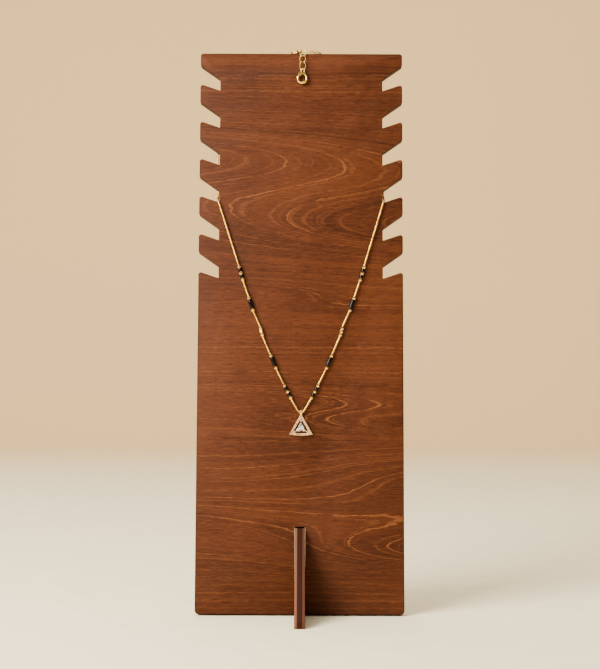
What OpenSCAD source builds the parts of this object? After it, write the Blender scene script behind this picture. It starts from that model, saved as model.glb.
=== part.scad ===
// A black bead and gold necklace with a triangular pendant, hung on a notched
// wooden display board that leans back on a plywood foot.
// The face frame runs across the board, into its thickness and up its face.

/* [Display board] */
// Width of the board
board_w = 125; // [120:1:135]
// Length of the board's face, from the surface to its top edge
board_h = 345; // [335:1:360]
// Thickness of the plywood
board_t = 6.3; // [5.4:0.1:6.8]
// Angle by which the board leans back
lean = 7.5; // [5:0.5:10]
// Radius of the board's outer corners
corner_r = 1.5; // [0.5:0.1:2]
// Radius of the board's lower corners
low_corner_r = 2.6; // [1:0.1:4]

/* [Notches] */
// Number of notches in each side
notch_count = 6; // [4:1:8]
// Distance from the top edge down to the first notch
notch_first = 7.7; // [6:0.1:9]
// Distance from one notch to the next
notch_pitch = 23.55; // [23:0.05:25]
// Depth of a notch
notch_depth = 12.3; // [11:0.1:13]
// Height of a notch's inner wall
notch_wall = 7.3; // [6.5:0.1:8]
// How far a notch's upper side falls toward the middle of the board
notch_upper_fall = 8.7; // [8:0.1:9.5]
// How far its lower side falls toward the middle of the board
notch_lower_fall = 4.2; // [3.5:0.1:5]

/* [Foot] */
// Reach of the foot in front of the board, along the surface
foot_front = 44; // [38:1:50]
// Reach of the foot behind the board's front face, along the surface
foot_rear = 58; // [56:1:66]
// Height of the foot where it meets the board's face
foot_h = 52; // [45:1:60]
// Height of the part of the foot that rises behind the board
foot_rest_h = 80; // [70:1:95]
// Height of the blunt ends of the foot
foot_end_h = 4; // [3:0.5:8]
// Clearance between the foot and the board's slot
slot_clear = 0.1; // [0.05:0.05:0.3]
// Gap above the foot at the end of the slot
slot_gap = 0.8; // [0.6:0.1:3]

/* [Chain and beads] */
// Diameter of the chain
chain_d = 1.2; // [1:0.05:1.3]
// Diameter of the beads
bead_d = 2.4; // [2.2:0.05:2.7]
// Diameter of the large gold bead in the middle of a gold group
large_bead_d = 2.6; // [2.4:0.05:2.8]
// Length of a gold bead
gold_bead_l = 1.8; // [1.6:0.05:1.85]
// Length of a round black bead
black_bead_l = 2.05; // [1.8:0.05:2.2]
// Length of a black tube bead
tube_bead_l = 5.9; // [5:0.1:6.3]
// Gap between the beads of a group
bead_gap = 0.12; // [0.1:0.01:0.2]
// Clearance between a bead's bore and the chain
bore_clear = 0.1; // [0.06:0.01:0.15]
// Gap between the board's face and the beads, the pendant and the clasp
face_gap = 0.15; // [0.1:0.05:0.3]

/* [Pendant] */
// Half of the pendant's width at its lower corners
pendant_half_w = 7; // [6.5:0.1:7.5]
// Distance from the bail's hole down to the apex
apex_drop = 2; // [1.9:0.1:2.5]
// Distance from the bail's hole down to the lower corners
corner_drop = 13.5; // [13:0.1:14.5]
// Bulge of the lower edge
lower_bulge = 0.8; // [0.5:0.1:1]
// Half of the width of the apex
apex_half_w = 0.6; // [0.4:0.05:0.8]
// Thickness of the pendant
pendant_t = 1.7; // [1.5:0.1:2]
// Width of the stone-set band
band_w = 1.5; // [1.4:0.05:1.7]
// Width of the open slots between the band and the middle stone
slot_w = 0.6; // [0.5:0.05:0.7]
// Width of the rim that carries the middle stone
collet_w = 0.14; // [0.12:0.01:0.2]
// Radius of the bail's hole
bail_hole_r = 0.8; // [0.75:0.01:0.85]
// Wall of the bail
bail_wall = 0.4; // [0.35:0.05:0.5]
// Width of the bail
bail_w = 1.5; // [1.2:0.1:1.6]
// Diameter of a small stone
pave_d = 0.95; // [0.85:0.01:0.96]
// Distance between small stones
pave_pitch = 1.06; // [1.06:0.01:1.2]

/* [Links and caps] */
// Half of an extender link's length, to the middle of its wire
link_half_l = 2.6; // [2.4:0.05:2.65]
// Half of the top link's length, to the middle of its wire
top_link_half = 2.9; // [2.8:0.05:3]
// Half of an extender link's width, to the middle of its wire
link_half_w = 1.8; // [1.7:0.05:1.9]
// Wire of the extender links and of the jump ring
link_wire = 0.6; // [0.5:0.05:0.65]
// Depth of an extender link's twist, to each side
link_twist = 1.15; // [1:0.05:1.3]
// Half of a small link's length, to the middle of its wire
small_half_l = 1.12; // [1.1:0.01:1.14]
// Half of a small link's width, to the middle of its wire
small_half_w = 0.65; // [0.64:0.01:0.67]
// Wire of the small links
small_wire = 0.45; // [0.4:0.01:0.46]
// Number of small links
small_count = 10; // [10:2:12]
// Distance between small links
small_pitch = 1.55; // [1.5:0.01:1.6]
// Length of an end cap
cap_l = 3.4; // [3:0.1:4]
// Radius of an end cap
cap_r = 1; // [0.9:0.05:1.05]
// Radius of an end cap's loop, to the middle of its wire
loop_r = 1; // [0.95:0.05:1.1]
// Wire of an end cap's loop
loop_wire = 0.5; // [0.4:0.05:0.55]

/* [Clasps] */
// Radius of a clasp's hook, to the middle of its metal
hook_r = 2.75; // [2.7:0.05:2.9]
// Width of the hook's metal
hook_w = 1.5; // [1.4:0.05:1.6]
// Thickness of a clasp
clasp_t = 2.2; // [2:0.1:2.4]
// Radius of a clasp's pin
pin_r = 0.33; // [0.3:0.01:0.36]
// Running clearance round the pin
pin_clear = 0.06; // [0.04:0.01:0.08]

/* [Hidden] */
$fn = 48;
tiny_gap = 0.1;
link_gap = 0.2;
upright = 90;
half_turn = 180;
full_turn = 360;

// The board and its frame.
board_y = (foot_front - foot_rear) / 2;
half_w = board_w / 2;
wall_x = half_w - notch_depth;
end_v = board_t * tan(lean);
slot_half = board_t / 2 + slot_clear;
slot_top = foot_h + slot_gap;

// The places that the chain lies at, measured into the board from its face.
chain_r = chain_d / 2;
front_n = -max(bead_d / 2, large_bead_d / 2, bail_hole_r + bail_wall) - face_gap;
back_n = board_t + chain_r + face_gap;

// The necklace hangs this far to the right of the board's middle.
necklace_x = 0.45;

// Route of the front strands from the bail to the top bead group: across and up.
FRONT_ROUTE = [
    [0, -223.4], [0.8, -223.4], [1.5, -223.1], [2, -222.3],
    [5.8, -215.8], [10.6, -206.4], [14.8, -197.8], [18.9, -188],
    [23.3, -177.8], [25.1, -171.2], [29, -162.6], [32.4, -152.6],
    [35.4, -143.7], [38.4, -133.5]
];
// Route through the notch: beyond its wall, share of the way to the back, and up.
NOTCH_ROUTE = [[-0.5, 0, -95], [0.1, 0.05, -93.7], [0.2, 0.25, -92.4], [0.2, 1, -88.6]];
// Route behind the board from the left notch to the left end: across and up.
LEFT_ROUTE = [
    [-51.3, -85.5], [-51.7, -80], [-51.8, -62], [-49.4, -54],
    [-42, -44], [-28, -31], [-14, -21], [-6.5, -14]
];
// The same on the right.
RIGHT_ROUTE = [[50.6, -85.5], [48, -77], [40, -60], [30, -40], [21, -23], [15, -12]];
bail_v = FRONT_ROUTE[0][1];
chain_sides = 8;
chain_step = 10.5;

// Bead groups: the route point that a group starts at, and its beads from the bail up.
COL_START = 0;
COL_BEADS = 1;
GROUPS = [
    [4, ["gold", "black", "gold", "black", "gold"]],
    [6, ["gold", "tube", "gold"]],
    [8, ["gold", "large", "gold"]],
    [10, ["gold", "tube", "gold"]],
    [12, ["gold", "black", "gold", "black", "gold"]]
];
BEADS = [for (g = [0:len(GROUPS) - 1]) for (k = [0:len(GROUPS[g][COL_BEADS]) - 1]) [g, k]];
bead_count = len(BEADS);
bore_r = chain_r + bore_clear;

// The top link lies over the board's front top corner.
link_x = 0.8;
hang_gap = 0.55;
lie_n = -(link_twist + link_wire / 2 + hang_gap);
top_link_low = [lie_n, -2.1];
top_link_tilt = 34;
top_link_mid = top_link_low + top_link_half * [sin(top_link_tilt), cos(top_link_tilt)];
link_seat = link_wire + link_gap;
first_link_v = top_link_low[1] + link_seat - link_half_l;
second_link_v = first_link_v - 2 * link_half_l + link_seat;

// A clasp, about the middle of its hook, with its eye up.
eye_x = 0.3;
eye_half_w = 0.98;
eye_wire = 0.64;
eye_top = 6.5;
eye_low = 4.2;
eye_turn = 8;
neck = [-0.55, 4.35];
step = 0.03;
pivot = [1.15, 3.05];
left_turn = atan2(neck[1], neck[0]) + acos(hook_r / norm(neck));
right_aim = [1.1, 4];
right_turn = atan2(right_aim[1], right_aim[0]) - acos(hook_r / norm(right_aim));
right_start = 1.5;
housing_r = 0.85;
housing_t = 2;
web_t = 1.5;
housing_gap = 0.15;
shoulder_r = 2.3;
tongue_r = 3.3;
tongue_side = 0.45;
tongue_aim = -67;
root_t = 0.8;
slot_t = 1;
hook_hole_r = hook_r - hook_w / 2;

// The hanging clasp takes the lowest extender link in its eye.
hang_v = second_link_v - link_half_l + link_wire / 2 + 2 * tiny_gap + eye_wire / 2 - eye_top;
hang_x = link_x - eye_x;

// The lying clasp takes the top link in its eye and overhangs the back edge.
lie_v = clasp_t / 2 + face_gap;
eye_hold = 5.5;
hold_x = 0.47;
lie_s = (lie_v - top_link_mid[1]) / cos(top_link_tilt);
leg_n = top_link_mid[0] + lie_s * sin(top_link_tilt);
leg_half = link_half_w * sqrt(1 - pow(max(0, lie_s - (top_link_half - link_half_w)) / link_half_w, 2));
overhang = 0.91;
lie_n_mid = board_t + overhang - hook_hole_r;
lie_turn = asin((lie_n_mid - leg_n) / norm([eye_hold, hold_x])) - atan2(hold_x, eye_hold);
lie_x_mid = link_x - leg_half + hold_x * sin(lie_turn) - eye_hold * cos(lie_turn);

// The jump ring hangs from the back of the lying clasp's hook.
ring_half_w = hook_w / 2 + link_wire / 2 + 0.2;
ring_n = lie_n_mid + hook_r + 0.02;
ring_high = lie_v + (clasp_t - hook_w) / 2;
ring_low = -0.8;
left_loop_v = ring_low - ring_half_w - (loop_r - (link_wire + loop_wire) / 2 - link_gap);
left_cap_v = left_loop_v - loop_r;

// The small links run along the top edge from the top link and turn to the back.
small_start = [link_x + leg_half, leg_n, lie_v];
small_first = small_half_l - (small_wire + link_wire) / 2 - 1.6 * link_gap;
small_run = small_first + small_pitch * (small_count - 1);
small_end_n = board_t + 0.8;
small_end_v = 0.95;
turn_r = small_end_n - small_start[1];
straight_run = small_run - turn_r * PI / 2;
small_end_x = small_start[0] + straight_run + turn_r;
first_roll = top_link_tilt;
roll_step = upright + (half_turn + small_count / 2 * half_turn - upright * (small_count - 1) - first_roll)
    % half_turn / (small_count - 1);
right_loop_n = small_end_n + small_half_l;
right_loop_v = small_end_v - (loop_r - (small_wire + loop_wire) / 2 - link_gap);
right_cap_v = right_loop_v - loop_r;
cap_grip = 1.7;

// The pendant, about the middle of the bail's hole, seen from the front.
side_lean = atan2(pendant_half_w - apex_half_w, corner_drop - apex_drop);
plate_back = -(bail_hole_r + bail_wall);
plate_front = plate_back + pendant_t;
bulge_r = (pow(pendant_half_w, 2) + pow(lower_bulge, 2)) / (2 * lower_bulge);
slot_out = band_w;
slot_in = band_w + slot_w;
stone_in = slot_in + collet_w + tiny_gap;
slot_floor = -corner_drop + band_w - 0.4;
stone_floor = slot_floor + slot_w + collet_w + tiny_gap;
stone_table = 0.85;
stone_girdle = 0.25;
stone_depth = 1.35;
stone_z = plate_front - 0.15;
corner_cut = 0.45;
corner_bridge = 1.5;
apex_bridge = 2;
prong_r = 0.34;
channel_rim = 0.17;
channel_depth = 0.5;

function unit(v) = v / norm(v);

// A corner rounded with radius r: a point outside it, an end of its arc, the middle, the other end.
function corner_cut_points(p, a, b, r) =
    let (ua = unit(a - p), ub = unit(b - p), inward = unit(ua + ub), half = acos(ua * ub) / 2)
    [p - inward * r, p + ua * r / tan(half), p + inward * r / sin(half), p + ub * r / tan(half)];

// Corners of one notch, from its outer upper corner to its outer lower one.
function notch_points(k) =
    let (top = board_h - notch_first - k * notch_pitch)
    [
        [half_w, top],
        [wall_x, top - notch_upper_fall],
        [wall_x, top - notch_upper_fall - notch_wall],
        [half_w, top - notch_upper_fall - notch_wall + notch_lower_fall]
    ];
SIDE = concat(
    [[half_w, board_h]],
    [for (k = [0:notch_count - 1]) for (p = notch_points(k)) p],
    [[half_w, end_v]]
);
// The corners of that side that are rounded: the top one, both of each notch and the lowest.
ROUNDED = concat(
    [[0, corner_r]],
    [for (k = [0:notch_count - 1]) for (i = [1, 4]) [4 * k + i, corner_r]],
    [[len(SIDE) - 1, low_corner_r]]
);
// The next corner of the outline after one of that side's.
function next_corner(i) = i == len(SIDE) - 1 ? [0, end_v] : SIDE[i + 1];

// A path with points added so that no step is longer than the given one.
function divided(path, step) = [
    for (i = [0:len(path) - 2])
        let (n = max(1, ceil(norm(path[i + 1] - path[i]) / step)))
        for (k = [0:n - 1]) path[i] + (path[i + 1] - path[i]) * k / n,
    path[len(path) - 1]
];
function heading(path, i) =
    let (last = len(path) - 1)
    i <= 0 ? unit(path[1] - path[0])
    : i >= last ? unit(path[last] - path[last - 1])
    : unit(unit(path[i] - path[i - 1]) + unit(path[i + 1] - path[i]));
function squared_to(side, t) = unit(side - t * (side * t));

// The whole chain, from its left end to its right end.
function mirrored(path) = [for (i = [len(path) - 1:-1:0]) path[i]];
function front_point(i, side) = [necklace_x + side * FRONT_ROUTE[i][0], front_n, FRONT_ROUTE[i][1]];
function notch_point(p, side) =
    [side * (wall_x + chain_r + p[0]), front_n + p[1] * (back_n - front_n), p[2]];
function half_route(side) = concat(
    [for (i = [1:len(FRONT_ROUTE) - 1]) front_point(i, side)],
    [for (p = NOTCH_ROUTE) notch_point(p, side)]
);
CHAIN_PATH = concat(
    [[lie_x_mid, ring_n, left_cap_v - cap_grip], [lie_x_mid, ring_n, left_cap_v - cap_l - 1.5]],
    mirrored([for (p = LEFT_ROUTE) [p[0], back_n, p[1]]]),
    mirrored(half_route(-1)),
    [front_point(0, 1)],
    half_route(1),
    [for (p = RIGHT_ROUTE) [p[0], back_n, p[1]]],
    [[small_end_x, right_loop_n, right_cap_v - cap_l - 1.5], [small_end_x, right_loop_n, right_cap_v - cap_grip]]
);

// Sides and corners of the pendant's outline, moved inward by the given distance.
function side_x(y, inset) =
    apex_half_w + (-apex_drop - y) * tan(side_lean) - inset / cos(side_lean);
function apex_y(inset) =
    min(-apex_drop, -apex_drop + (apex_half_w - inset / cos(side_lean)) / tan(side_lean));
function shield(inset, floor_y) =
    let (x = side_x(floor_y, inset), top = max(0, side_x(apex_y(inset), inset)))
    [[-x, floor_y], [-top, apex_y(inset)], [top, apex_y(inset)], [x, floor_y]];

// The face frame, and the same frame with its origin at the middle of the top edge.
module on_face() {
    translate([0, board_y, 0])
        rotate([-lean, 0, 0])
            children();
}
module at_top() {
    on_face()
        translate([0, 0, board_h])
            children();
}

// Board: an outline with notches and rounded corners, and a slot for the foot. Its lower end is
// square to its face, so it stands on that end's rear edge.
module board_outline() {
    difference() {
        polygon(concat(SIDE, [for (i = [len(SIDE) - 1:-1:0]) [-SIDE[i][0], SIDE[i][1]]]));
        for (flip = [0, 1])
            mirror([flip, 0])
                for (c = ROUNDED)
                    corner_waste(corner_cut_points(
                        SIDE[c[0]], c[0] == 0 ? [0, board_h] : SIDE[c[0] - 1],
                        next_corner(c[0]), c[1]), c[1]);
        translate([-slot_half, 0])
            square([2 * slot_half, slot_top]);
    }
}
module corner_waste(c, r) {
    difference() {
        polygon(c);
        translate(c[2])
            circle(r = r);
    }
}
module display_board() {
    color([0.49, 0.25, 0.13])
        on_face()
            translate([0, board_t, 0])
                rotate([upright, 0, 0])
                    linear_extrude(board_t)
                        board_outline();
}

// Foot: a plate square to the board, through the slot, with a rest behind the board.
module board_foot() {
    rest_clear = board_t + slot_clear;
    function face_point(n, v) = [n * cos(lean) + v * sin(lean), v * cos(lean) - n * sin(lean)];
    front_top = face_point(0, foot_h);
    back_top = face_point(rest_clear, foot_h);
    rest_low = face_point(rest_clear, foot_h + 2);
    rest_high = face_point(rest_clear, foot_rest_h);
    color([0.63, 0.42, 0.3])
        translate([0, board_y, 0])
            rotate([upright, 0, upright])
                linear_extrude(board_t, center = true)
                    polygon([
                        [-foot_front, 0], [-foot_front, foot_end_h], front_top, back_top,
                        rest_low, rest_high, rest_high + [foot_end_h, 0],
                        [foot_rear, foot_end_h], [foot_rear, 0]
                    ]);
}

// A round tube along a path.
module tube(path, radius, sides) {
    last = len(path) - 1;
    first_side = squared_to([0, 1, 0.3], heading(path, 0));
    across = [
        for (i = 0, s = first_side; i <= last;
            i = i + 1, s = squared_to(s, heading(path, min(i, last)))) s
    ];
    points = [
        for (i = [0:last])
            let (t = heading(path, i), s = across[i], b = cross(t, s))
            for (k = [0:sides - 1])
                path[i] + radius * (cos(k * full_turn / sides) * s + sin(k * full_turn / sides) * b)
    ];
    faces = concat(
        [[for (k = [0:sides - 1]) k]],
        [for (i = [0:last - 1]) for (k = [0:sides - 1])
            let (next = (k + 1) % sides)
            [i * sides + k, (i + 1) * sides + k, (i + 1) * sides + next, i * sides + next]],
        [[for (k = [sides - 1:-1:0]) last * sides + k]]
    );
    polyhedron(points, faces, convexity = 10);
}
module chain() {
    color([0.83, 0.65, 0.38])
        at_top()
            tube(divided(CHAIN_PATH, chain_step), chain_r, chain_sides);
}

// Beads: each is drilled, and sits on a straight stretch of the chain.
function bead_length(kind) =
    kind == "black" ? black_bead_l
    : kind == "tube" ? tube_bead_l
    : gold_bead_l + (kind == "large" ? 0.2 : 0);
function total(list, count) = count <= 0 ? 0 : list[count - 1] + total(list, count - 1);
function bead_place(group, k, side) =
    let (
        row = GROUPS[group],
        a = front_point(row[COL_START], side),
        b = front_point(row[COL_START] + 1, side),
        lengths = [for (kind = row[COL_BEADS]) bead_length(kind) + bead_gap],
        offset = total(lengths, k) + lengths[k] / 2 - total(lengths, len(lengths)) / 2
    )
    (a + b) / 2 + offset * unit(b - a);
module bead(index, side) {
    group = BEADS[index][0];
    kind = GROUPS[group][COL_BEADS][BEADS[index][1]];
    start = GROUPS[group][COL_START];
    run = front_point(start + 1, side) - front_point(start, side);
    at_top()
        translate(bead_place(group, BEADS[index][1], side))
            rotate([0, atan2(run[0], run[2]), 0])
                bead_body(kind);
}
module bead_body(kind) {
    long = bead_length(kind);
    d = kind == "large" ? large_bead_d : bead_d;
    is_black = kind == "black" || kind == "tube";
    color(is_black ? [0.06, 0.04, 0.05] : [0.86, 0.7, 0.45])
        difference() {
            if (kind == "tube")
                tube_bead_body(long, d);
            else
                intersection() {
                    cylinder(h = long, d = d, center = true);
                    sphere(d = is_black ? norm([d, long]) * 0.92 : d * 1.04);
                }
            cylinder(h = long + 1, r = bore_r, center = true);
        }
}
module tube_bead_body(long, d) {
    chamfer = 0.25;
    cylinder(h = long - 2 * chamfer, d = d, center = true);
    for (flip = [0, 1])
        mirror([0, 0, flip])
            translate([0, 0, long / 2 - chamfer])
                cylinder(h = chamfer, d1 = d, d2 = d - 2 * chamfer);
}

// Pendant: a pierced plate with a bail, a channel of small stones and a middle stone.
module in_pendant() {
    at_top()
        translate([necklace_x, front_n, bail_v])
            rotate([upright, 0, 0])
                children();
}
module layer(low, high) {
    translate([0, 0, low])
        linear_extrude(high - low)
            children();
}
module pendant_outline(inset) {
    intersection() {
        polygon(shield(inset, -corner_drop - lower_bulge + inset));
        translate([0, -corner_drop - lower_bulge + bulge_r])
            circle(r = bulge_r - inset, $fn = 200);
        side = pendant_half_w - inset * (1 / cos(side_lean) + tan(side_lean));
        translate([-side, -2 * corner_drop])
            square([2 * side, 2 * corner_drop]);
    }
}
module open_slots() {
    difference() {
        polygon(shield(slot_out, slot_floor));
        polygon(shield(slot_in, slot_floor + slot_w));
        // Bridges at the three corners.
        translate([-2 * apex_half_w, -apex_drop - band_w - apex_bridge])
            square([4 * apex_half_w, band_w + apex_bridge]);
        for (flip = [0, 1])
            mirror([flip, 0])
                translate([side_x(slot_floor, slot_out), slot_floor])
                    rotate(-(upright - side_lean) / 2)
                        square([5, corner_bridge], center = true);
    }
}
module stone_outline(grow) {
    polygon(stone_points(grow));
}
// The middle stone's outline: a triangle with its corners cut off.
function stone_points(grow) =
    let (
        s = shield(stone_in - grow, stone_floor - grow),
        top = [0, s[1][1]],
        corners = [[s[0][0], s[0][1]], top, [s[3][0], s[3][1]]]
    )
    [
        for (i = [0:2])
            let (p = corners[i], before = corners[(i + 2) % 3], after = corners[(i + 1) % 3])
            each [
                p + unit(before - p) * corner_cut,
                p + unit(after - p) * corner_cut,
                p + (after - p) / 2 + unit([p[1] - after[1], after[0] - p[0]]) * 0.12
            ]
    ];
function middle_of(points) = [for (axis = [0, 1]) total([for (p = points) p[axis]], len(points)) / len(points)];
module pendant_frame() {
    color([0.85, 0.68, 0.5])
        in_pendant() {
            difference() {
                union() {
                    layer(plate_back, plate_front)
                        pendant_outline(0);
                    rotate([0, -upright, 0]) {
                        linear_extrude(bail_w, center = true)
                            circle(r = bail_hole_r + bail_wall);
                        linear_extrude(bail_w * 0.75, center = true)
                            bail_neck();
                    }
                }
                layer(plate_back - 1, plate_front + 1)
                    open_slots();
                layer(plate_front - channel_depth, plate_front + 1)
                    channel_outline();
                layer(plate_back + 0.45, plate_front + 1)
                    stone_outline(tiny_gap);
                layer(plate_back - 1, plate_front)
                    translate(middle_of(stone_points(0)))
                        scale(0.62)
                            translate(-middle_of(stone_points(0)))
                                stone_outline(0);
                rotate([0, upright, 0])
                    cylinder(h = bail_w + 2, r = bail_hole_r, center = true);
            }
            prongs();
        }
}
// The bail's neck from the side, with the pendant's thickness across.
module bail_neck() {
    polygon([
        [plate_back, -0.2], [plate_back, -apex_drop - 0.6], [plate_front - 0.1, -apex_drop - 0.6],
        [-plate_back * 0.8, -bail_hole_r]
    ]);
}
// The channel that the small stones are set in.
module channel_outline() {
    difference() {
        pendant_outline(channel_rim);
        intersection() {
            polygon(shield(slot_out - channel_rim, slot_floor - 0.12));
            translate([-pendant_half_w, -2 * corner_drop])
                square([2 * pendant_half_w, 2 * corner_drop - apex_drop - band_w - apex_bridge + 0.3]);
        }
    }
}
module prongs() {
    s = shield(stone_in, stone_floor);
    reach = 0.06;
    for (p = [[s[0][0], s[0][1]], [0, s[1][1]], [s[3][0], s[3][1]]])
        translate(concat(p + unit(p - middle_of(stone_points(0))) * reach, [plate_front - channel_depth])) {
            cylinder(h = channel_depth + 0.45, r = prong_r);
            translate([0, 0, channel_depth + 0.45])
                sphere(r = prong_r);
        }
}
// A cut stone from rings of points: a table, a crown, a girdle and a pavilion to a point.
module cut_stone(outline, table_share, crown_h, girdle_h, depth) {
    n = len(outline);
    c = middle_of(outline);
    table = [for (i = [0:n - 1])
        let (p = (outline[i] + outline[(i + 1) % n]) / 2) concat(c + (p - c) * table_share, [girdle_h + crown_h])];
    points = concat(
        table,
        [for (p = outline) concat(p, [girdle_h])],
        [for (p = outline) concat(p, [0])],
        [concat(c, [-depth])]
    );
    faces = concat(
        [[for (i = [0:n - 1]) i]],
        [for (i = [0:n - 1]) [i, n + i, n + (i + 1) % n]],
        [for (i = [0:n - 1]) [i, n + (i + 1) % n, (i + 1) % n]],
        [for (i = [0:n - 1]) [n + i, 2 * n + i, 2 * n + (i + 1) % n, n + (i + 1) % n]],
        [for (i = [0:n - 1]) [2 * n + i, 3 * n, 2 * n + (i + 1) % n]]
    );
    polyhedron(points, faces);
}
module middle_stone() {
    color([0.93, 0.95, 0.98, 0.7])
        in_pendant()
            translate([0, 0, stone_z])
                cut_stone(stone_points(0), 0.6, stone_table, stone_girdle, stone_depth);
}
// Small stones: two side rows, a row along the lower edge, the corners and two at the apex.
module small_stones() {
    mid = band_w / 2;
    corner = [side_x(-corner_drop + 0.5, mid) - 0.11, -corner_drop + 0.5];
    low_y = corner[1] + pave_pitch;
    low = [side_x(low_y, mid), low_y];
    high_x = pave_pitch / 2 + 0.09;
    high = [high_x, -apex_drop - (high_x - apex_half_w + mid / cos(side_lean)) / tan(side_lean)];
    side_steps = floor(norm(low - high) / pave_pitch);
    side_row = [for (i = [0:side_steps]) low + (high - low) * i / side_steps];
    lower_steps = floor(2 * corner[0] / pave_pitch);
    lower_row = [for (i = [1:lower_steps - 1]) let (x = corner[0] * (1 - 2 * i / lower_steps))
        [x, corner[1] - 0.05 - lower_bulge / 2 * (1 - pow(x / corner[0], 2))]];
    places = concat(
        side_row, [corner], lower_row,
        [for (p = concat(side_row, [corner])) [-p[0], p[1]]],
        [[0, high[1] + 0.88], [0, high[1] - 0.88]]
    );
    color([0.95, 0.9, 0.9])
        in_pendant()
            for (p = places)
                translate([p[0], p[1], plate_front - 0.02])
                    cut_stone(octagon(pave_d / 2), 0.62, 0.2, 0.04, 0.38);
}
// Clockwise, as a stone's outline is.
function octagon(r) = [for (i = [0:7]) r * [cos(-i * 45), sin(-i * 45)]];

// Links: closed rings of wire. A twisted one is oval, the others have round ends and straight sides.
module wire_link(half_l, half_w, twist, wire) {
    stations = 16;
    sides = 6;
    straight = twist == 0 ? half_l - half_w : 0;
    round_l = half_l - straight;
    angles = [for (i = [0:stations - 1]) (i + 0.5) * full_turn / stations];
    points = [
        for (a = angles)
            let (
                middle = [half_w * sin(a), twist * sin(2 * a), round_l * cos(a) + straight * sign(cos(a))],
                t = unit([half_w * cos(a), 2 * twist * cos(2 * a), -round_l * sin(a)]),
                out = squared_to([sin(a), 0, cos(a)], t),
                b = cross(t, out)
            )
            for (k = [0:sides - 1])
                middle + wire / 2 * (cos(k * full_turn / sides) * out + sin(k * full_turn / sides) * b)
    ];
    faces = [
        for (i = [0:stations - 1])
            let (j = (i + 1) % stations)
            for (k = [0:sides - 1])
                let (next = (k + 1) % sides)
                each [
                    [i * sides + k, j * sides + k, j * sides + next],
                    [i * sides + k, j * sides + next, i * sides + next]
                ]
    ];
    polyhedron(points, faces, convexity = 4);
}
module gold_link() {
    color([0.84, 0.63, 0.42])
        at_top()
            children();
}
module top_link() {
    gold_link()
        translate([link_x, top_link_mid[0], top_link_mid[1]])
            rotate([-top_link_tilt, 0, 0])
                wire_link(top_link_half, link_half_w, 0, link_wire);
}
module extender_link(v) {
    gold_link()
        translate([link_x, lie_n, v])
            wire_link(link_half_l, link_half_w, link_twist, link_wire);
}
module jump_ring() {
    half_l = (ring_high - ring_low) / 2 + ring_half_w;
    gold_link()
        translate([lie_x_mid, ring_n, (ring_high + ring_low) / 2])
            rotate([0, 0, upright])
                wire_link(half_l, ring_half_w, 0, link_wire);
}

// Small links: each is turned against the one before, along a straight run and a turn.
module small_links() {
    gold_link()
        for (k = [0:small_count - 1]) {
            run = small_first + small_pitch * k;
            bent = max(0, run - straight_run) / turn_r * half_turn / PI;
            x = small_start[0] + min(run, straight_run) + turn_r * sin(bent);
            n = small_start[1] + turn_r * (1 - cos(bent));
            v = small_start[2] + (small_end_v - small_start[2]) * run / small_run;
            translate([x, n, v])
                rotate([0, 0, bent])
                    rotate([-first_roll - roll_step * k, 0, 0])
                        rotate([upright, 0, 0])
                            rotate([0, upright, 0])
                                wire_link(small_half_l, small_half_w, 0, small_wire);
        }
}

// End caps: a drilled sleeve with a soldered loop on top.
module end_cap(turn) {
    color([0.8, 0.62, 0.38]) {
        rotate([0, 0, turn])
            rotate([upright, 0, 0])
                rotate_extrude()
                    translate([loop_r, 0])
                        circle(d = loop_wire);
        translate([0, 0, -loop_r - cap_l])
            difference() {
                cylinder(h = cap_l, r = cap_r);
                translate([0, 0, -1])
                    cylinder(h = cap_l - 1.2 + 1, r = bore_r);
            }
    }
}
module end_cap_left() {
    at_top()
        translate([lie_x_mid, ring_n, left_loop_v])
            end_cap(0);
}
module end_cap_right() {
    at_top()
        translate([small_end_x, right_loop_n, right_loop_v])
            end_cap(upright);
}

// Clasps: a hook with a housing and an eye, closed by a lever on a pin.
module section(inset) {
    square([hook_w - 2 * inset, clasp_t - hook_w], center = true);
    for (side = [-1, 1])
        translate([0, side * (clasp_t - hook_w) / 2])
            circle(d = hook_w - 2 * inset);
}
module hook_arc(from, to) {
    rotate([0, 0, from])
        rotate_extrude(angle = to - from)
            translate([hook_r, 0])
                section(0);
}
// A straight stretch of the same section, a step smaller, from one point to another.
module hook_bar(a, b) {
    translate([a[0], a[1], 0])
        rotate([0, 0, atan2(b[1] - a[1], b[0] - a[0])])
            rotate([upright, 0, upright])
                linear_extrude(norm(b - a))
                    section(step);
}
// A round end for such a stretch.
module bar_end(p) {
    translate([p[0], p[1], 0])
        rotate_extrude()
            intersection() {
                section(2 * step);
                translate([0, -clasp_t])
                    square([hook_w, 2 * clasp_t]);
            }
}
function on_hook(a) = hook_r * [cos(a), sin(a)];
function past(a, b, more) = b + unit(b - a) * more;
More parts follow.
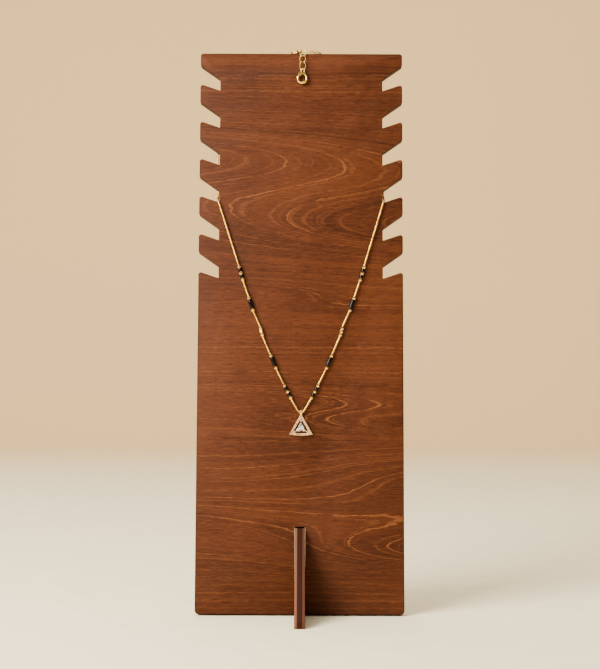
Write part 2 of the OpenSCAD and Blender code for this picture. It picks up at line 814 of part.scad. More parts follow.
// What the lever takes out of the hook's band: its body and the tongue inside the tip.
module lever_zone(grow) {
    linear_extrude(2 * clasp_t, center = true)
        intersection() {
            translate(pivot) {
                circle(r = shoulder_r + grow);
                intersection() {
                    circle(r = tongue_r + grow);
                    rotate(tongue_aim)
                        translate([0, -2 * tongue_r + tongue_side + grow])
                            square([2 * tongue_r, 2 * tongue_r]);
                }
            }
            translate([hook_hole_r / 2 - grow, -hook_r])
                square(2 * hook_r + clasp_t);
        }
}
module clasp_body() {
    web_low = [-1.75, 1.55];
    web_high = [0.95, 3.65];
    web_w = 0.7;
    color([0.87, 0.74, 0.5]) {
        difference() {
            hook_arc(left_turn, full_turn + right_turn);
            lever_zone(tiny_gap);
        }
        hook_bar(past(neck, on_hook(left_turn), 0.25), neck);
        bar_end(neck);
        eye();
        difference() {
            union() {
                linear_extrude(housing_t, center = true) {
                    translate(pivot)
                        circle(r = housing_r);
                    polygon([
                        [pivot[0] - 0.8, pivot[1] + 0.2], [eye_x + eye_half_w - 0.45, eye_low],
                        [eye_x + eye_half_w + 0.42, eye_low], [pivot[0] + 0.83, pivot[1] + 0.15]
                    ]);
                }
                linear_extrude(web_t, center = true)
                    translate(web_low)
                        rotate(atan2(web_high[1] - web_low[1], web_high[0] - web_low[0]))
                            translate([0, -web_w / 2])
                                square([norm(web_high - web_low), web_w]);
            }
            translate([pivot[0], pivot[1], 0])
                cylinder(h = slot_t, r = housing_r + tiny_gap, center = true);
        }
        translate([pivot[0], pivot[1], 0])
            cylinder(h = clasp_t, r = pin_r, center = true);
    }
}
module eye() {
    arc_y = eye_top - eye_half_w;
    translate([eye_x, arc_y, 0])
        rotate([0, 0, -eye_turn])
            rotate_extrude(angle = half_turn + 2 * eye_turn)
                translate([eye_half_w, 0])
                    circle(d = eye_wire);
    for (side = [-1, 1])
        translate([eye_x + side * eye_half_w, eye_low - 0.3, 0])
            rotate([-upright, 0, 0])
                cylinder(h = arc_y - eye_low + 0.3, d = eye_wire - 2 * step);
}
module clasp_lever() {
    root_run = 1.4;
    color([0.85, 0.7, 0.46])
        difference() {
            union() {
                difference() {
                    intersection() {
                        union() {
                            hook_arc(-20, right_turn);
                            hook_bar(
                                past(on_hook(right_turn), right_aim, -right_start),
                                past(right_aim, on_hook(right_turn), 0.25));
                        }
                        lever_zone(0);
                    }
                    translate([pivot[0], pivot[1], 0])
                        cylinder(h = 2 * clasp_t, r = housing_r + housing_gap, center = true);
                }
                linear_extrude(root_t, center = true)
                    translate(pivot) {
                        circle(r = housing_r - 0.15);
                        rotate(tongue_aim + 12)
                            translate([0, -0.5])
                                square([root_run, 1]);
                    }
            }
            translate([pivot[0], pivot[1], 0])
                cylinder(h = clasp_t, r = pin_r + pin_clear, center = true);
        }
}
module hang_clasp() {
    at_top()
        translate([hang_x, lie_n, hang_v])
            rotate([upright, 0, 0])
                children();
}
module lay_clasp() {
    at_top()
        translate([lie_x_mid, lie_n_mid, lie_v])
            rotate([0, 0, -lie_turn - upright])
                children();
}

display_board();
board_foot();
chain();
for (k = [1:bead_count]) bead(k - 1, -1);
for (k = [1:bead_count]) bead(k - 1, 1);
pendant_frame();
middle_stone();
small_stones();
hang_clasp() clasp_body();  // hanging_clasp
hang_clasp() clasp_lever();  // hanging_clasp_lever
lay_clasp() clasp_body();  // lying_clasp
lay_clasp() clasp_lever();  // lying_clasp_lever
top_link();
extender_link(first_link_v);  // extender_link_1
extender_link(second_link_v);  // extender_link_2
jump_ring();
small_links();
end_cap_left();
end_cap_right();
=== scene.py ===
"""Dresses a black bead and gold necklace and its notched wooden display stand.

The frame gives the solids. This script adds the finishes, the softened edges of the wood, the
fine chain, the cut beads, the round wire of the links and the gold grains between the small
stones, in the same places as the solids. Lengths are in metres, written as millimetres times
MM, and the routes, the profiles and the lists of the wood's figure are in plain millimetres.
FACE and TOP run across the board, into its thickness and up its face, as in the part's source.
"""

import math
from collections import namedtuple

import bpy
from mathutils import Matrix, Vector


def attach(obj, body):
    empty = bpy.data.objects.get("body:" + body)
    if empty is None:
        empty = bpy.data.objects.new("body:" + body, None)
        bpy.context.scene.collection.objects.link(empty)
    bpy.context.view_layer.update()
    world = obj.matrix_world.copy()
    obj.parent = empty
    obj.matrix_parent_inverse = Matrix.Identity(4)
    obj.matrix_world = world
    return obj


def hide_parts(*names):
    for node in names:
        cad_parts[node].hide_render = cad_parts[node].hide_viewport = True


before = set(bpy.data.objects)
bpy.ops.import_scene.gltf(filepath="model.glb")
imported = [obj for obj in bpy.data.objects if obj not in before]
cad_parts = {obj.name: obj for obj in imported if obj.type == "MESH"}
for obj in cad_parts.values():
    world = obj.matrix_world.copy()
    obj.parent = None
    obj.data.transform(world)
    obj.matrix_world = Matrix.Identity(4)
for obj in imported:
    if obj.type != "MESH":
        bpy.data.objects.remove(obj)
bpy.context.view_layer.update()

bl_info = {
    "name": "Necklace on a notched wooden stand",
    "version": (1, 0, 0),
    "blender": (4, 5, 0),
    "location": "3D View > Sidebar > Necklace",
    "description": "Dresses the wooden stand, the chain, its beads and its pendant",
    "category": "Object",
}

MM = 0.001

# The board: it leans back about the line where its face meets the surface that it stands on.
LEAN = math.radians(7.5)
BOARD_FACE = Vector((0, -7, 0)) * MM
BOARD_H = 345 * MM
BOARD_T = 6.3 * MM
BOARD_W = 125 * MM

# Places on the board, from the lower end of its face and from the middle of its top edge.
FACE = Matrix.Translation(BOARD_FACE) @ Matrix.Rotation(-LEAN, 4, "X")
TOP = FACE @ Matrix.Translation((0, 0, BOARD_H))
FROM_TOP = TOP.inverted()

# The chain, in millimetres: its diameter, the depth of its line in front of the board and behind
# it, the wall of the notch that it passes through, and the middle of its two front strands.
CHAIN_D = 1.2
FRONT_N = -1.45
BACK_N = 7.05
NOTCH_WALL_X = 50.2
NECKLACE_X = 0.45
# How far it reaches into an end cap, and how far it runs straight out of it.
CAP_GRIP = 1.7
CAP_RUN_OUT = 1.5

# Route of the front strands from the bail to the topmost beads: across and up.
FRONT_ROUTE = [
    (0, -223.4), (0.8, -223.4), (1.5, -223.1), (2, -222.3),
    (5.8, -215.8), (10.6, -206.4), (14.8, -197.8), (18.9, -188),
    (23.3, -177.8), (25.1, -171.2), (29, -162.6), (32.4, -152.6),
    (35.4, -143.7), (38.4, -133.5),
]
# Route through the notch: beyond its wall, share of the way to the back, and up.
NOTCH_ROUTE = [(-0.5, 0, -95), (0.1, 0.05, -93.7), (0.2, 0.25, -92.4), (0.2, 1, -88.6)]
# Route behind the board from the left notch to the left end: across and up.
LEFT_ROUTE = [
    (-51.3, -85.5), (-51.7, -80), (-51.8, -62), (-49.4, -54),
    (-42, -44), (-28, -31), (-14, -21), (-6.5, -14),
]
# The same on the right.
RIGHT_ROUTE = [(50.6, -85.5), (48, -77), (40, -60), (30, -40), (21, -23), (15, -12)]

# The beads of one strand, from the bail up.
BEAD_KINDS = [
    "gold", "black", "gold", "black", "gold",
    "gold", "tube", "gold",
    "gold", "large", "gold",
    "gold", "tube", "gold",
    "gold", "black", "gold", "black", "gold",
]

# Hills and valleys of the grain: middle across and up the face, half length, half height, lift.
Figure = namedtuple("Figure", "across up half_length half_height lift")
GRAIN_FIGURES = [
    Figure(-115, 282, 155, 20, 54),
    Figure(118, 234, 135, 20, -62),
    Figure(-60, 195, 66, 8, 26),
    Figure(-60, 131, 90, 8, 16),
    Figure(82, 114, 76, 8, -22),
    Figure(86, 84, 66, 16, 22),
    Figure(92, 38, 80, 13, -34),
    Figure(-90, 60, 80, 14, 8),
]
# Darker areas and streaks, the same, with the change of tone in place of the lift: streaks and
# bands of the stain, and in the first area and the last painted shade on the lower right, where
# the foot's shadow falls and the light fades.
STAIN_AND_SHADE_AREAS = [
    Figure(40, 88, 45, 25, -0.1),
    Figure(0, 307, 60, 18, -0.05),
    Figure(25, 296.5, 45, 2.2, -0.15),
    Figure(0, 163, 70, 1.6, -0.1),
    Figure(-20, 149, 50, 1.2, -0.08),
    Figure(34, 38, 40, 20, -0.05),
]
# A place on each of the light grain lines that stand out: across and up the face.
LIGHT_LINES = [
    (-27, 331), (50, 280), (-8, 277), (-33, 238), (3, 196), (-30, 161), (0, 146), (34, 131),
    (10, 114.5), (-40, 88), (-12, 82), (13, 70), (20, 60), (24, 36),
]


# Materials from sums


class Value:
    """A socket of a material, which Python sums turn into Math nodes."""

    def __init__(self, finish, socket):
        self.finish = finish
        self.socket = socket

    def math(self, operation, *others):
        """Adds a Math node that takes this value first."""
        return self.finish.math(operation, self, *others)

    def __add__(self, other):
        return self.math("ADD", other)

    __radd__ = __add__

    def __mul__(self, other):
        return self.math("MULTIPLY", other)

    __rmul__ = __mul__

    def __sub__(self, other):
        return self.math("SUBTRACT", other)

    def __rsub__(self, other):
        return self.finish.math("SUBTRACT", other, self)

    def __truediv__(self, other):
        return self.math("DIVIDE", other)

    def __abs__(self):
        return self.math("ABSOLUTE")

    def ramped(self, low, high):
        """0 below low, 1 above high and smooth between."""
        return self.finish.node(
            "ShaderNodeMapRange", {"interpolation_type": "SMOOTHSTEP"},
            {"Value": self, "From Min": low, "From Max": high},
        )

    def bell(self, middle, width):
        """1 where this value is at the middle, falling to nothing a few widths away."""
        off = (self - middle) / width
        return (off * off * -1).math("EXPONENT")


# A noise: its repeats per metre, detail and roughness, and its squeeze along the grain.
Noise = namedtuple("Noise", "scale detail roughness squeeze", defaults=(2.0, 0.5, 1.0))


class Finish:
    """A material in the making."""

    def __init__(self, name, **sockets):
        self.material = bpy.data.materials.new(name)
        self.material.use_nodes = True
        self.tree = self.material.node_tree
        self.shader = self.tree.nodes["Principled BSDF"]
        self.shade(**sockets)

    def shade(self, **sockets):
        """Feeds sockets of the shader, with spaces written as underscores."""
        for label, value in sockets.items():
            self.feed(self.shader.inputs[label.replace("_", " ")], value)
        return self.material

    def feed(self, socket, value):
        """Sets a socket to a number or colour, or links it to a value."""
        if isinstance(value, Value):
            self.tree.links.new(value.socket, socket)
        else:
            socket.default_value = value

    def node(self, kind, settings=(), sockets=(), out=0):
        """Adds a node: its settings are set first, then its sockets by name or number."""
        made = self.tree.nodes.new(kind)
        for name, value in dict(settings).items():
            setattr(made, name, value)
        for key, value in dict(sockets).items():
            self.feed(made.inputs[key], value)
        return Value(self, made.outputs[out])

    def math(self, operation, *values):
        """Adds a Math node."""
        return self.node("ShaderNodeMath", {"operation": operation}, enumerate(values))

    def place(self, turn=(0, 0, 0), shift=(0, 0, 0)):
        """Object coordinates, turned and then shifted."""
        here = self.node("ShaderNodeTexCoord", out="Object")
        return self.node(
            "ShaderNodeMapping", {}, {"Vector": here, "Location": shift, "Rotation": turn}
        )

    def parts_of(self, vector):
        """The three numbers of a vector or colour."""
        split = self.node("ShaderNodeSeparateXYZ", {}, {0: vector})
        return [Value(self, output) for output in split.socket.node.outputs]

    def vector(self, x, y, z):
        """A vector from three numbers."""
        return self.node("ShaderNodeCombineXYZ", {}, enumerate((x, y, z)))

    def noise(self, kind, where):
        """Noise in space."""
        sockets = {"Scale": kind.scale, "Detail": kind.detail, "Roughness": kind.roughness}
        return self.node("ShaderNodeTexNoise", {}, {"Vector": where, **sockets})

    def grained(self, kind, across, depth, up):
        """Noise in space, drawn out along the grain, which runs across."""
        return self.noise(kind, self.vector(across * kind.squeeze, depth, up))

    def bands(self, along, kind):
        """Noise that changes along one value only."""
        sockets = {"Scale": kind.scale, "Detail": kind.detail, "Roughness": kind.roughness}
        return self.node(
            "ShaderNodeTexNoise", {"noise_dimensions": "1D"}, {"W": along, **sockets}
        )

    def mix(self, share, first, second):
        """Goes from the first colour to the second as share goes from 0 to 1."""
        return self.node(
            "ShaderNodeMix", {"data_type": "RGBA"}, {0: share, 6: first, 7: second}, out=2
        )

    def bump(self, height, strength, distance):
        """A normal that follows a height."""
        return self.node(
            "ShaderNodeBump", {}, {"Height": height, "Strength": strength, "Distance": distance}
        )


def srgb(red, green, blue):
    """A colour given in screen values, from 0 to 255, as the shader wants it."""
    def linear(level):
        level = level / 255
        return level / 12.92 if level <= 0.04045 else ((level + 0.055) / 1.055) ** 2.4
    return (linear(red), linear(green), linear(blue), 1.0)


# Settings

AS_COLOR = {"size": 4, "subtype": "COLOR", "min": 0, "max": 1}


class StageSettings(bpy.types.PropertyGroup):
    """The camera, the lights and the floor."""

    lens: bpy.props.FloatProperty(
        name="Lens", description="Focal length of the camera",
        default=89.7, min=20, unit="CAMERA",
    )
    camera_back: bpy.props.FloatProperty(
        name="Distance", description="Camera's distance in front of the origin",
        default=0.998, min=0.2, unit="LENGTH",
    )
    camera_height: bpy.props.FloatProperty(
        name="Height", description="Camera's height over the floor",
        default=0.1675, min=0, unit="LENGTH",
    )
    camera_roll: bpy.props.FloatProperty(
        name="Roll", description="Turn of the camera about its view",
        default=math.radians(0.203), subtype="ANGLE", unit="ROTATION",
    )
    key_power: bpy.props.FloatProperty(
        name="Key light", description="Power of the soft light on the left",
        default=46.0, min=0, unit="POWER",
    )
    fill_power: bpy.props.FloatProperty(
        name="Fill light", description="Power of the soft light in front",
        default=2.5, min=0, unit="POWER",
    )
    top_power: bpy.props.FloatProperty(
        name="Top light", description="Power of the wide light overhead",
        default=27.0, min=0, unit="POWER",
    )
    floor_color: bpy.props.FloatVectorProperty(
        name="Floor", description="Colour of the floor",
        default=srgb(255, 243, 204), **AS_COLOR,
    )
    backdrop_color: bpy.props.FloatVectorProperty(
        name="Backdrop", description="Colour of the backdrop behind the stand",
        default=srgb(228, 192, 136), **AS_COLOR,
    )
    backdrop_glow: bpy.props.FloatProperty(
        name="Backdrop glow", description="Light given by the backdrop itself",
        default=0.62, min=0,
    )


class StandSettings(bpy.types.PropertyGroup):
    """The stained plywood of the board and its foot."""

    light_wood: bpy.props.FloatVectorProperty(
        name="Light grain", description="Colour of the light grain lines",
        default=srgb(136, 80, 42), **AS_COLOR,
    )
    middle_wood: bpy.props.FloatVectorProperty(
        name="Wood", description="Main colour of the stained face",
        default=srgb(88, 45, 20), **AS_COLOR,
    )
    dark_wood: bpy.props.FloatVectorProperty(
        name="Dark grain", description="Colour of the dark late wood",
        default=srgb(48, 20, 6), **AS_COLOR,
    )
    edge_wood: bpy.props.FloatVectorProperty(
        name="Edge", description="Colour of the scorched cut edges",
        default=srgb(56, 25, 12), **AS_COLOR,
    )
    veneer_wood: bpy.props.FloatVectorProperty(
        name="Veneer", description="Colour of the outer plies on the foot's cut edge",
        default=srgb(118, 76, 54), **AS_COLOR,
    )
    core_wood: bpy.props.FloatVectorProperty(
        name="Core", description="Colour of the middle ply on a cut edge",
        default=srgb(40, 16, 6), **AS_COLOR,
    )
    arris: bpy.props.FloatProperty(
        name="Edge rounding", description="Rounding of the board's edges",
        default=0.45 * MM, min=0.1 * MM, max=1 * MM, precision=5, unit="LENGTH",
    )


class NecklaceSettings(bpy.types.PropertyGroup):
    """The metal, the black glass and the stones."""

    gold: bpy.props.FloatVectorProperty(
        name="Gold", description="Colour of the chain",
        default=srgb(255, 200, 86), **AS_COLOR,
    )
    bead_gold: bpy.props.FloatVectorProperty(
        name="Bead gold", description="Colour of the cut gold beads",
        default=srgb(255, 208, 124), **AS_COLOR,
    )
    rose_gold: bpy.props.FloatVectorProperty(
        name="Pendant gold", description="Colour of the pendant's frame",
        default=srgb(255, 206, 140), **AS_COLOR,
    )
    # Mixed in by clouds, for wear and for painted darker reflections.
    worn_and_shaded_gold: bpy.props.FloatVectorProperty(
        name="Deep gold", description="Colour of the gold where its polish is dull",
        default=srgb(176, 108, 24), **AS_COLOR,
    )
    # Painted shade in and round the pendant's slots.
    slot_shade: bpy.props.FloatVectorProperty(
        name="Slots", description="Colour deep in the pendant's slots",
        default=srgb(52, 26, 12), **AS_COLOR,
    )
    clasp_gold: bpy.props.FloatVectorProperty(
        name="Clasp gold", description="Colour of the clasps and the links",
        default=srgb(255, 216, 118), **AS_COLOR,
    )
    # Mixed in by clouds, for wear and for painted darker reflections.
    worn_and_shaded_olive: bpy.props.FloatVectorProperty(
        name="Olive gold", description="Colour of the clasps where their polish is dull",
        default=srgb(150, 116, 46), **AS_COLOR,
    )
    black_glass: bpy.props.FloatVectorProperty(
        name="Black glass", description="Colour of the black beads",
        default=srgb(8, 4, 3), **AS_COLOR,
    )
    # The middle stone's light and dark facets are painted reflections.
    lit_white_stone: bpy.props.FloatVectorProperty(
        name="Middle stone", description="Colour of the middle stone's light facets",
        default=srgb(252, 242, 226), **AS_COLOR,
    )
    shaded_gray_stone: bpy.props.FloatVectorProperty(
        name="Middle stone, dark", description="Colour of the middle stone's dark facets",
        default=srgb(44, 32, 22), **AS_COLOR,
    )
    # The small stones' peach tint, with light and dark facets that are painted reflections.
    lit_peach_stone: bpy.props.FloatVectorProperty(
        name="Small stones", description="Colour of the small stones' light facets",
        default=srgb(255, 200, 158), **AS_COLOR,
    )
    shaded_brown_stone: bpy.props.FloatVectorProperty(
        name="Small stones, dark", description="Colour of the small stones' dark facets",
        default=srgb(140, 76, 46), **AS_COLOR,
    )
    link_pitch: bpy.props.FloatProperty(
        name="Chain link", description="Length of one link of the fine chain",
        default=0.7 * MM, min=0.4 * MM, max=2 * MM, precision=5, unit="LENGTH",
    )
    link_waist: bpy.props.FloatProperty(
        name="Chain waist", description="Thickness between two links, as a share of the chain's",
        default=0.84, min=0.5, max=1, subtype="FACTOR",
    )


# Finish of the wood

# The grain's height: noises that bend its lines, how far they bend them, the width of a light
# line, and the range of its strength.
SLOW_WAVE = Noise(34.0, squeeze=0.35)
SLOW_BEND = 4 * MM
QUICK_WAVE = Noise(230.0, 4.0, 0.65, squeeze=0.4)
QUICK_BEND = 1.8 * MM
LINE_WIDTH = 0.22 * MM
LINE_RANGE = (0.1, 1.0)

# Tone of the face: its noises, their shares, the depth of a valley that darkens it by one, and
# the sums where it is darkest and lightest.
TONE_BAND = Noise(1.0, 4.0, 0.7)
TONE_PITCH = 12 * MM
TONE_SHARE = 0.6
FIBRE = Noise(1500.0, 3.0, 0.8, squeeze=0.1)
STREAK = Noise(620.0, 3.0, 0.7, squeeze=0.06)
STREAK_SHARE = 0.4
PATCH = Noise(13.0, 3.0)
PATCH_SHARE = 0.7
VALLEY_DEPTH = 340 * MM
SHADE_RANGE = (0.94, 1.72)

# Light lines and finer threads: their strength, and what breaks them up along their length.
LINE_SHARE = 0.6
THREAD_BAND = Noise(1.0, 2.0, 0.6)
THREAD_PITCH = 4.5 * MM
THREAD_SHIFT = 77 * MM
THREAD_RANGE = (0.0, 0.025)
THREAD_SHARE = 0.22
BREAKS = Noise(70.0, squeeze=0.6)
BREAK_RANGE = (0.32, 0.5)
FIBRE_RANGE = (0.25, 0.6)

PORES = Noise(1500.0, 1.0, squeeze=0.15)
PORE_RANGE = (0.3, 0.4)
PORE_SHARE = 0.5

# Relief and gloss.
STREAK_RELIEF = 0.4
FIBRE_RELIEF = 0.6
RELIEF_ROUGHNESS = 0.08
WOOD_SPECULAR = 0.1
WOOD_BUMP = (0.25, 0.08 * MM)
BOARD_ROUGHNESS = 0.5
FOOT_ROUGHNESS = 0.52

# Cut edges: where the core ends and the veneers begin, from the middle of the plywood, and the
# range of the turn from an edge to a face.
PLY_RANGE = (1.5 * MM, 1.75 * MM)
BOARD_TURN = (0.35, 0.9)
FOOT_TURN = (0.4, 0.9)
SPECKLE = Noise(900.0, 3.0)
SPECKLE_SQUEEZE = 3
SPECKLE_RANGE = (0.3, 0.75)
SPECKLE_SHARE = 0.4
PLY_STREAK = Noise(420.0, 4.0, 0.65, squeeze=6.0)
VENEER_STREAKS = 0.5
CORE_STREAKS = 0.35
# The foot's right veneer lies in shade.
SHADED_RANGE = (-2 * MM, 3 * MM)
SHADED_SHARE = 0.66

# The dark rim round the board's outline, scorched edges with painted shade along the lower end
# and the sides: its width, how strong it is at the top and the sides, and the height of the
# board's lower end on its face.
SCORCH = 1.1 * MM
SCORCH_SHARE = 0.7
LOW_END = BOARD_T * math.tan(LEAN)


def wood_frame(finish):
    """Place on the board: across, into its thickness and up its face, in metres."""
    turned = Matrix.Rotation(LEAN, 4, "X")
    return finish.place(turn=(LEAN, 0, 0), shift=-(turned @ BOARD_FACE))


def off_middle(figure, across, up):
    """Squared distance from a figure's middle, in its half lengths and half heights."""
    reach = (across - figure.across * MM) / (figure.half_length * MM)
    rise = (up - figure.up * MM) / (figure.half_height * MM)
    return reach * reach + rise * rise


def hills(figures, across, up):
    """Sum of round hills and valleys."""
    total = 0.0
    for figure in figures:
        total = (off_middle(figure, across, up) * -1).math("EXPONENT") * figure.lift + total
    return total


def grain_height(finish, across, up):
    """Height in the tree's rings, whose level lines are the grain's lines, and its hills."""
    slow = finish.grained(SLOW_WAVE, across, 0.0, up)
    quick = finish.grained(QUICK_WAVE, across, 0.0, up)
    height = up * -1 + (slow - 0.5) * SLOW_BEND + (quick - 0.5) * QUICK_BEND
    lift = hills(GRAIN_FIGURES, across, up) * MM
    return height + lift, lift


def ring_level(across, up):
    """The grain's height at one place of the face, before its noise."""
    lifts = [
        figure.lift * MM * math.exp(-off_middle(figure, across, up)) for figure in GRAIN_FIGURES
    ]
    return sum(lifts) - up


def light_lines(height):
    """1 along the light lines of the figure and 0 between them."""
    total = 0.0
    for across, up in LIGHT_LINES:
        total = height.bell(ring_level(across * MM, up * MM), LINE_WIDTH) + total
    return total.ramped(*LINE_RANGE)


def face_wood(finish, colors, across, depth, up):
    """Colour and height of a stained face whose grain runs across."""
    height, lift = grain_height(finish, across, up)
    fibre = finish.grained(FIBRE, across, depth, up)
    streak = finish.grained(STREAK, across, depth, up)
    # The tone takes in the darker areas: stain, and painted shade on the lower right.
    shade = (
        finish.bands(height / TONE_PITCH, TONE_BAND) * TONE_SHARE + fibre + streak * STREAK_SHARE
        + finish.grained(PATCH, across, depth, up) * PATCH_SHARE
        + lift.math("MINIMUM", 0.0) / VALLEY_DEPTH + hills(STAIN_AND_SHADE_AREAS, across, up)
    )
    color = finish.mix(shade.ramped(*SHADE_RANGE), colors.dark_wood, colors.middle_wood)
    off_thread = abs(finish.bands((height + THREAD_SHIFT) / THREAD_PITCH, THREAD_BAND) - 0.5)
    threads = 1 - off_thread.ramped(*THREAD_RANGE)
    breaks = finish.grained(BREAKS, across, depth, up).ramped(*BREAK_RANGE)
    gleam = light_lines(height) * LINE_SHARE + threads * THREAD_SHARE
    gleam = gleam * breaks * fibre.ramped(*FIBRE_RANGE)
    color = finish.mix(gleam, color, colors.light_wood)
    dark_pore = 1 - finish.grained(PORES, across, depth, up).ramped(*PORE_RANGE)
    color = finish.mix(dark_pore * PORE_SHARE, color, colors.dark_wood)
    return color, streak * STREAK_RELIEF + fibre * FIBRE_RELIEF - dark_pore


def scorched_and_shaded_rim(across, up):
    """0 on the board's outline and 1 inside it; weaker at the top and the sides. It darkens for
    scorched edges, with painted shade along the lower end and the sides.
    """
    top = up.ramped(BOARD_H - SCORCH, BOARD_H) * SCORCH_SHARE
    side = abs(across).ramped(BOARD_W / 2 - SCORCH, BOARD_W / 2) * SCORCH_SHARE
    return up.ramped(LOW_END, LOW_END + SCORCH) * (1 - top) * (1 - side)


def board_finish(colors):
    """Red-brown stained plywood with arched grain, and darker cut edges that show the plies."""
    finish = Finish("board_wood", Specular_IOR_Level=WOOD_SPECULAR)
    across, depth, up = finish.parts_of(wood_frame(finish))
    face, relief = face_wood(finish, colors, across, depth, up)
    normal = finish.node("ShaderNodeNewGeometry", out="Normal")
    face_normal = FACE.to_3x3() @ Vector((0, 1, 0))
    facing = abs(finish.node(
        "ShaderNodeVectorMath", {"operation": "DOT_PRODUCT"}, {0: normal, 1: face_normal},
        out="Value",
    ))
    veneer = abs(depth - BOARD_T / 2).ramped(*PLY_RANGE)
    plies = finish.mix(veneer, colors.core_wood, colors.edge_wood)
    speckle = finish.grained(SPECKLE, across, depth * SPECKLE_SQUEEZE, up).ramped(*SPECKLE_RANGE)
    edge = finish.mix(speckle * SPECKLE_SHARE, plies, colors.dark_wood)
    color = finish.mix(facing.ramped(*BOARD_TURN), edge, face)
    # The rim darkens for scorched edges, with painted shade along the lower end and the sides.
    return finish.shade(
        Base_Color=finish.mix(scorched_and_shaded_rim(across, up), colors.core_wood, color),
        Roughness=BOARD_ROUGHNESS + relief * RELIEF_ROUGHNESS,
        Normal=finish.bump(relief, *WOOD_BUMP),
    )


def foot_finish(colors):
    """The foot's plywood: stained sides, and edges with light veneers round a dark core."""
    finish = Finish("foot_wood", Specular_IOR_Level=WOOD_SPECULAR)
    across, along, up = finish.parts_of(finish.place())
    side, relief = face_wood(finish, colors, along, across, up)
    normal = finish.node("ShaderNodeNewGeometry", out="Normal")
    facing = abs(finish.parts_of(normal)[0])
    streaks = finish.grained(PLY_STREAK, across, along, up)
    marks = streaks.ramped(*SPECKLE_RANGE)
    light = finish.mix(marks * VENEER_STREAKS, colors.veneer_wood, colors.middle_wood)
    light = finish.mix(across.ramped(*SHADED_RANGE) * SHADED_SHARE, light, colors.edge_wood)
    dark = finish.mix(marks * CORE_STREAKS, colors.core_wood, colors.edge_wood)
    edge = finish.mix(abs(across).ramped(*PLY_RANGE), dark, light)
    return finish.shade(
        Base_Color=finish.mix(facing.ramped(*FOOT_TURN), edge, side),
        Roughness=FOOT_ROUGHNESS + relief * RELIEF_ROUGHNESS,
        Normal=finish.bump(relief + streaks, *WOOD_BUMP),
    )


# Finishes of the metal, the glass and the stones

RUBBING = Noise(1800.0, 4.0, 0.6)
RUB_SHARE = 0.25
RUB_ROUGHNESS = 0.1
RUB_BUMP = (0.06, 0.02 * MM)
# Clouds of the deep colour, for wear and for painted darker reflections along the metal.
CLOUDS = Noise(240.0, 3.0)
CLOUD_SHARE = 0.75
CLOUD_RANGE = (0.36, 0.66)

SWIRL = Noise(700.0)
SWIRL_RANGE = (0.35, 0.8)
SWIRL_SHARE = 0.5
SWIRL_COLOR = (0.005, 0.003, 0.002, 1.0)
SWIRL_ROUGHNESS = 0.12
SWIRL_BUMP = (0.08, 0.05 * MM)
GLASS_ROUGHNESS = 0.06

# The painted shade round the pendant's slots, as shares of the middle stone's inner radius from
# its middle: where it starts and ends toward its own side, and where it ends toward the others.
SLOT_START = (1.04, 1.1)
SLOT_END = (1.58, 1.66)
SLOT_CORNER = (0.85, 1.05)
# Painted shade deep in the slots: inside this reach, and this far behind the small stones' front.
SLOT_WALL = (1.66, 1.8)
SLOT_DEPTH = (0.6 * MM, 1.1 * MM)
SLOT_SHARE = 0.92

# The small stones: size of their facets, and the range of their painted light and shade.
FACET = 0.7 * MM
FACET_DEPTH = 0.2
FACET_RANGE = (0.1, 0.8)
FACET_ROUGHNESS = 0.1
FACET_COAT = 0.4

# The middle stone: sectors of facets, the share of a slanting side's run across, the edges of
# its rings and how many sectors each ring is turned by, and the painted reflections of its
# facets, with painted shade toward its girdle.
STONE_SECTORS = 12
STONE_SLANT = 0.866
STONE_RINGS = [(0.4, 0.42), (0.74, 0.76)]
RING_TURN = 0.5
STONE_CLOUDS = Noise(900.0)
SPARK_SHARE = 0.8
STONE_CLOUD_SHARE = 0.3
SPARK_RANGE = (0.3, 0.85)
SPARK_ROUGHNESS = 0.08
SPARK_COAT = 0.5
GIRDLE_RANGE = (0.84, 0.93)
GIRDLE_SHARE = 0.85
STONE_ROUGHNESS = 0.03


def rubbed_metal(name, color, deep, roughness, wear_and_shade, metallic=1.0):
    """A finish with fine rubbing in its polish, and its clouded colour: wear and painted darker
    reflections.
    """
    finish = Finish(name, Metallic=metallic)
    here = finish.place()
    rub = finish.noise(RUBBING, here)
    cloud = finish.noise(CLOUDS, here) * CLOUD_SHARE + rub * RUB_SHARE
    finish.shade(
        Roughness=roughness + (rub - 0.5) * RUB_ROUGHNESS, Normal=finish.bump(rub, *RUB_BUMP)
    )
    return finish, finish.mix(cloud.ramped(*CLOUD_RANGE) * wear_and_shade, color, deep)


def metal_finish(name, color, deep, roughness, wear_and_shade, metallic=1.0):
    """Polished plated metal that shows its deep colour in clouds, for wear and painted darker
    reflections.
    """
    finish, worn_and_shaded = rubbed_metal(name, color, deep, roughness, wear_and_shade, metallic)
    return finish.shade(Base_Color=worn_and_shaded)


def stone_place(finish):
    """Place from the middle stone's middle, right and up, and depth in the board.

    Right and up are shares of its inner radius, a third of an even triangle's height.
    """
    low, high = face_box("middle_stone")
    inner_r = (high.z - low.z) / 3
    across, depth, up = finish.parts_of(wood_frame(finish))
    right = (across - (low.x + high.x) / 2) / inner_r
    return right, (up - (BOARD_H + low.z + inner_r)) / inner_r, depth


def side_reaches(right, rise):
    """How far a place lies from the stone's middle toward each of its three sides."""
    slant = rise * 0.5
    return [rise * -1, slant + right * STONE_SLANT, slant - right * STONE_SLANT]


def farthest(sides):
    """The greatest of the three reaches."""
    return sides[0].math("MAXIMUM", sides[1]).math("MAXIMUM", sides[2])


